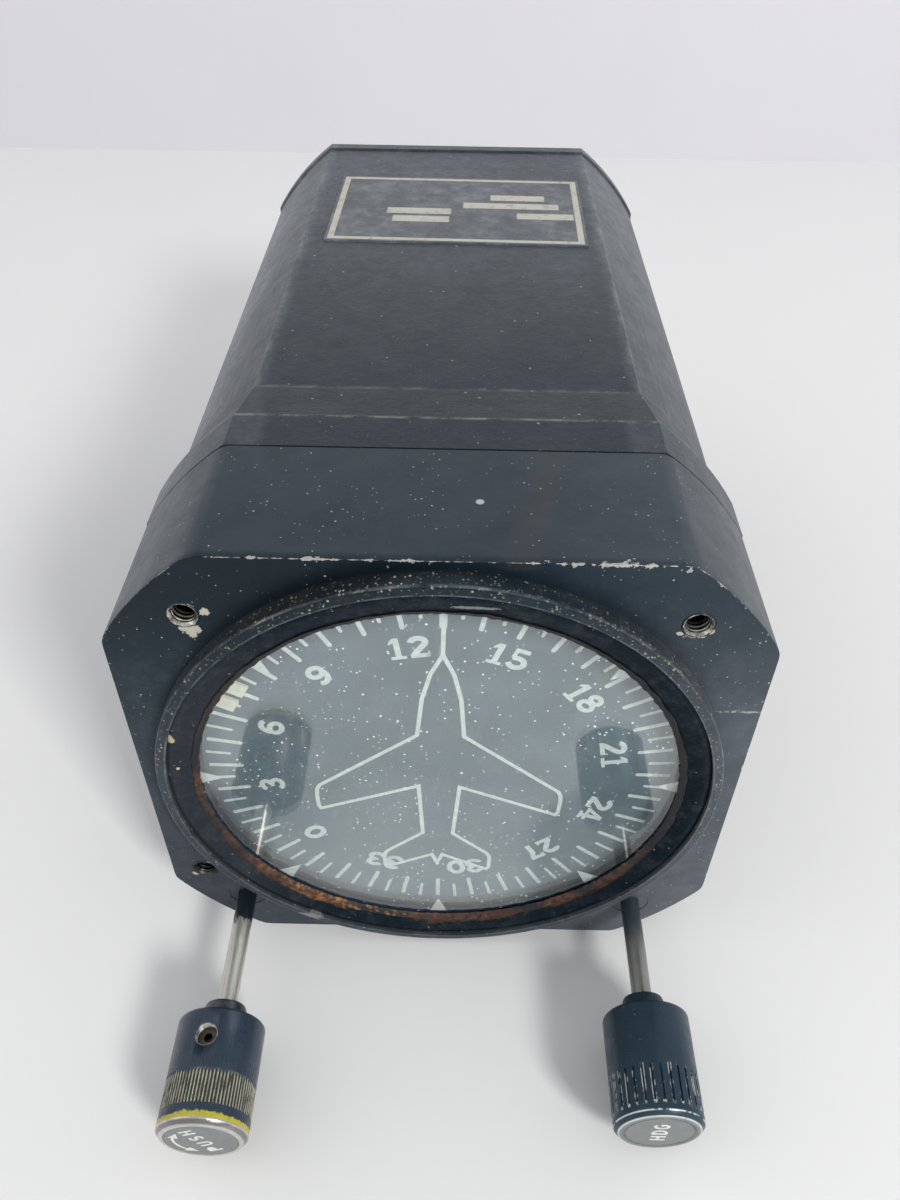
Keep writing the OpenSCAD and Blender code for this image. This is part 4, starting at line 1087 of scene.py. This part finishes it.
def make_return_spring():
    """The coils behind the caging knob's washer, built at their full length; on the real knob they close up
    as it goes in.
    """
    low, high = (Vector(corner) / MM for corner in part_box("push_return_spring"))
    coil_r = (high.x - low.x) / 2 - SPRING_WIRE_R - SPRING_GAP
    start = low.y + SPRING_WIRE_R + SPRING_GAP
    rise = high.y - SPRING_WIRE_R - SPRING_GAP - start
    around = 24
    sides = 8
    count = SPRING_TURNS * around
    verts = []
    for i in range(count + 1):
        turn = 2 * math.pi * i / around
        for k in range(sides):
            side = 2 * math.pi * k / sides
            radius = coil_r + SPRING_WIRE_R * math.cos(side)
            y = start + rise * i / count + SPRING_WIRE_R * math.sin(side)
            verts.append((PUSH_AT[0] + radius * math.sin(turn), y, PUSH_AT[1] + radius * math.cos(turn)))
    faces = [list(range(sides)), list(range(count * sides, len(verts)))]
    for first in range(count * sides):
        second = first + 1 if (first + 1) % sides else first + 1 - sides
        faces.append([first, second, second + sides, first + sides])
    spring = add_piece("return_spring_coil", (verts, faces), "case", "steel",
                       ["push_return_spring"])
    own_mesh(spring)


LETTERS = {
    "P": [[(-0.5, -0.8), (-0.5, 0.8)],
          [(-0.5, 0.7)] + arc(0.1, 0.32, 0.42, 0.38, 90, -90, 8) + [(-0.5, -0.06)]],
    "U": [[(-0.5, 0.8), (-0.5, -0.2)] + arc(0, -0.22, 0.5, 0.48, 180, 360, 8) + [(0.5, 0.8)]],
    "S": [arc(0, 0.36, 0.45, 0.36, 30, 270, 10) + arc(0, -0.36, 0.45, 0.36, 90, -150, 10)],
    "H": [[(-0.5, -0.8), (-0.5, 0.8)], [(0.5, -0.8), (0.5, 0.8)], [(-0.5, 0), (0.5, 0)]],
    "D": [[(-0.5, -0.8), (-0.5, 0.8)], [(-0.5, 0.7)] + arc(-0.1, 0, 0.62, 0.7, 90, -90, 10) + [(-0.5, -0.7)]],
    "G": [arc(0, 0, 0.55, 0.72, 45, 330, 14) + [(0.5, -0.05), (0.1, -0.05)]],
}


def legend(body, text, at, front, turn, size, spacing, stroke, extra=()):
    """A generic legend on the disc of a body's knob, turned clockwise."""
    shapes = []
    for k, letter in enumerate(text):
        offset = (k - (len(text) - 1) / 2) * spacing
        for line in LETTERS[letter]:
            shapes.extend(ribbon([(x * size[0] + offset, z * size[1] / 1.6) for x, z in line], stroke))
    shapes.extend(extra)
    placed = [[Vector(at) + q for q in dial_place(shape, turn)] for shape in shapes]
    add_marking("legend_" + body, placed, front, 0.03, body, "legend")


def turn_arrow(radius, start, end, stroke):
    """A curved arrow with a head at both ends."""
    head_length = 1.7
    head_half = 0.72
    back = math.degrees(head_length / radius)
    shapes = ribbon(arc(0, 0, radius, radius, start + back * 0.8, end - back * 0.8, 14), stroke)
    for tip_angle, base_angle in ((start, start + back), (end, end - back)):
        tip, base = map(Vector, arc(0, 0, radius, radius, tip_angle, base_angle, 1))
        across = base.normalized() * head_half
        shapes.append([base + across, base - across, tip])
    return shapes


# Stage, light and camera

def stage_plane(name, corners, material, dark, light):
    """A plain surface of the stage."""
    p = Paint(material)
    p.ground(p.noise(60), dark, light)
    mesh = bpy.data.meshes.new(name)
    mesh.from_pydata(corners, [], [(0, 1, 2, 3)])
    mesh.materials.append(p.done(0.6))
    obj = link_new(name, mesh)


def area_light(name, place, target, size, power, colour):
    data = bpy.data.lights.new(name, "AREA")
    data.shape = "RECTANGLE"
    data.size = data.size_y = size
    data.energy = power
    data.color = colour
    obj = link_new(name, data)
    obj.location = place
    obj.rotation_euler = (Vector(target) - Vector(place)).to_track_quat("-Z", "Y").to_euler()


def make_stage():
    """A pale table and wall, a soft light from the front right and a dimmer room."""
    reach = 2
    wall_y = 0.395
    floor_z = -WHOLE[1] / 2 * MM
    foot = [(-reach, wall_y, floor_z), (reach, wall_y, floor_z)]
    stage_plane("floor", [(-reach, -reach, floor_z), (reach, -reach, floor_z), *reversed(foot)],
                "table_white", (0.86, 0.86, 0.855, 1), (0.88, 0.88, 0.875, 1))
    stage_plane("wall", [*foot, (reach, wall_y, 1), (-reach, wall_y, 1)],
                "wall_white", (0.71, 0.70, 0.73, 1), (0.74, 0.73, 0.76, 1))
    world = bpy.data.worlds.new("pale_room")
    world.use_nodes = True
    background = world.node_tree.nodes["Background"]
    background.inputs["Color"].default_value = (0.97, 0.98, 1, 1)
    background.inputs["Strength"].default_value = 0.6
    bpy.context.scene.world = world
    area_light("window_light", (0.56, -0.80, 0.66), (0, 0.03, 0), 0.24, 8.6, (1, 0.99, 0.97))
    area_light("left_light", (-0.9, -0.1, 0.7), (0, 0.05, 0), 0.7, 1, (0.97, 0.98, 1))


def make_camera():
    data = bpy.data.cameras.new("camera")
    data.lens = 29.42
    data.sensor_width = 36
    data.clip_start = 0.01
    data.clip_end = 10
    obj = link_new("camera", data)
    obj.location = (0.00175, -0.08684, 0.11329)
    obj.rotation_euler = (math.radians(47.87), math.radians(-0.65), math.radians(0.99))
    bpy.context.scene.camera = obj


# The part, then the stage
dress_nodes()
make_case()
make_ring()
make_inserts()
make_card_markings()
make_glass_markings()
make_push_knob()
make_hdg_knob()
make_return_spring()
legend("push", "PUSH", PUSH_AT, PUSH_FRONT, 242, (0.95, 2.1), 2.08, 0.36, turn_arrow(3.85, 25, 139, 0.34))
legend("hdg", "HDG", HDG_AT, HDG_FRONT, 270, (1.08, 2.1), 2.05, 0.42)
make_stage()
make_camera()
bpy.context.scene.view_settings.view_transform = "Standard"
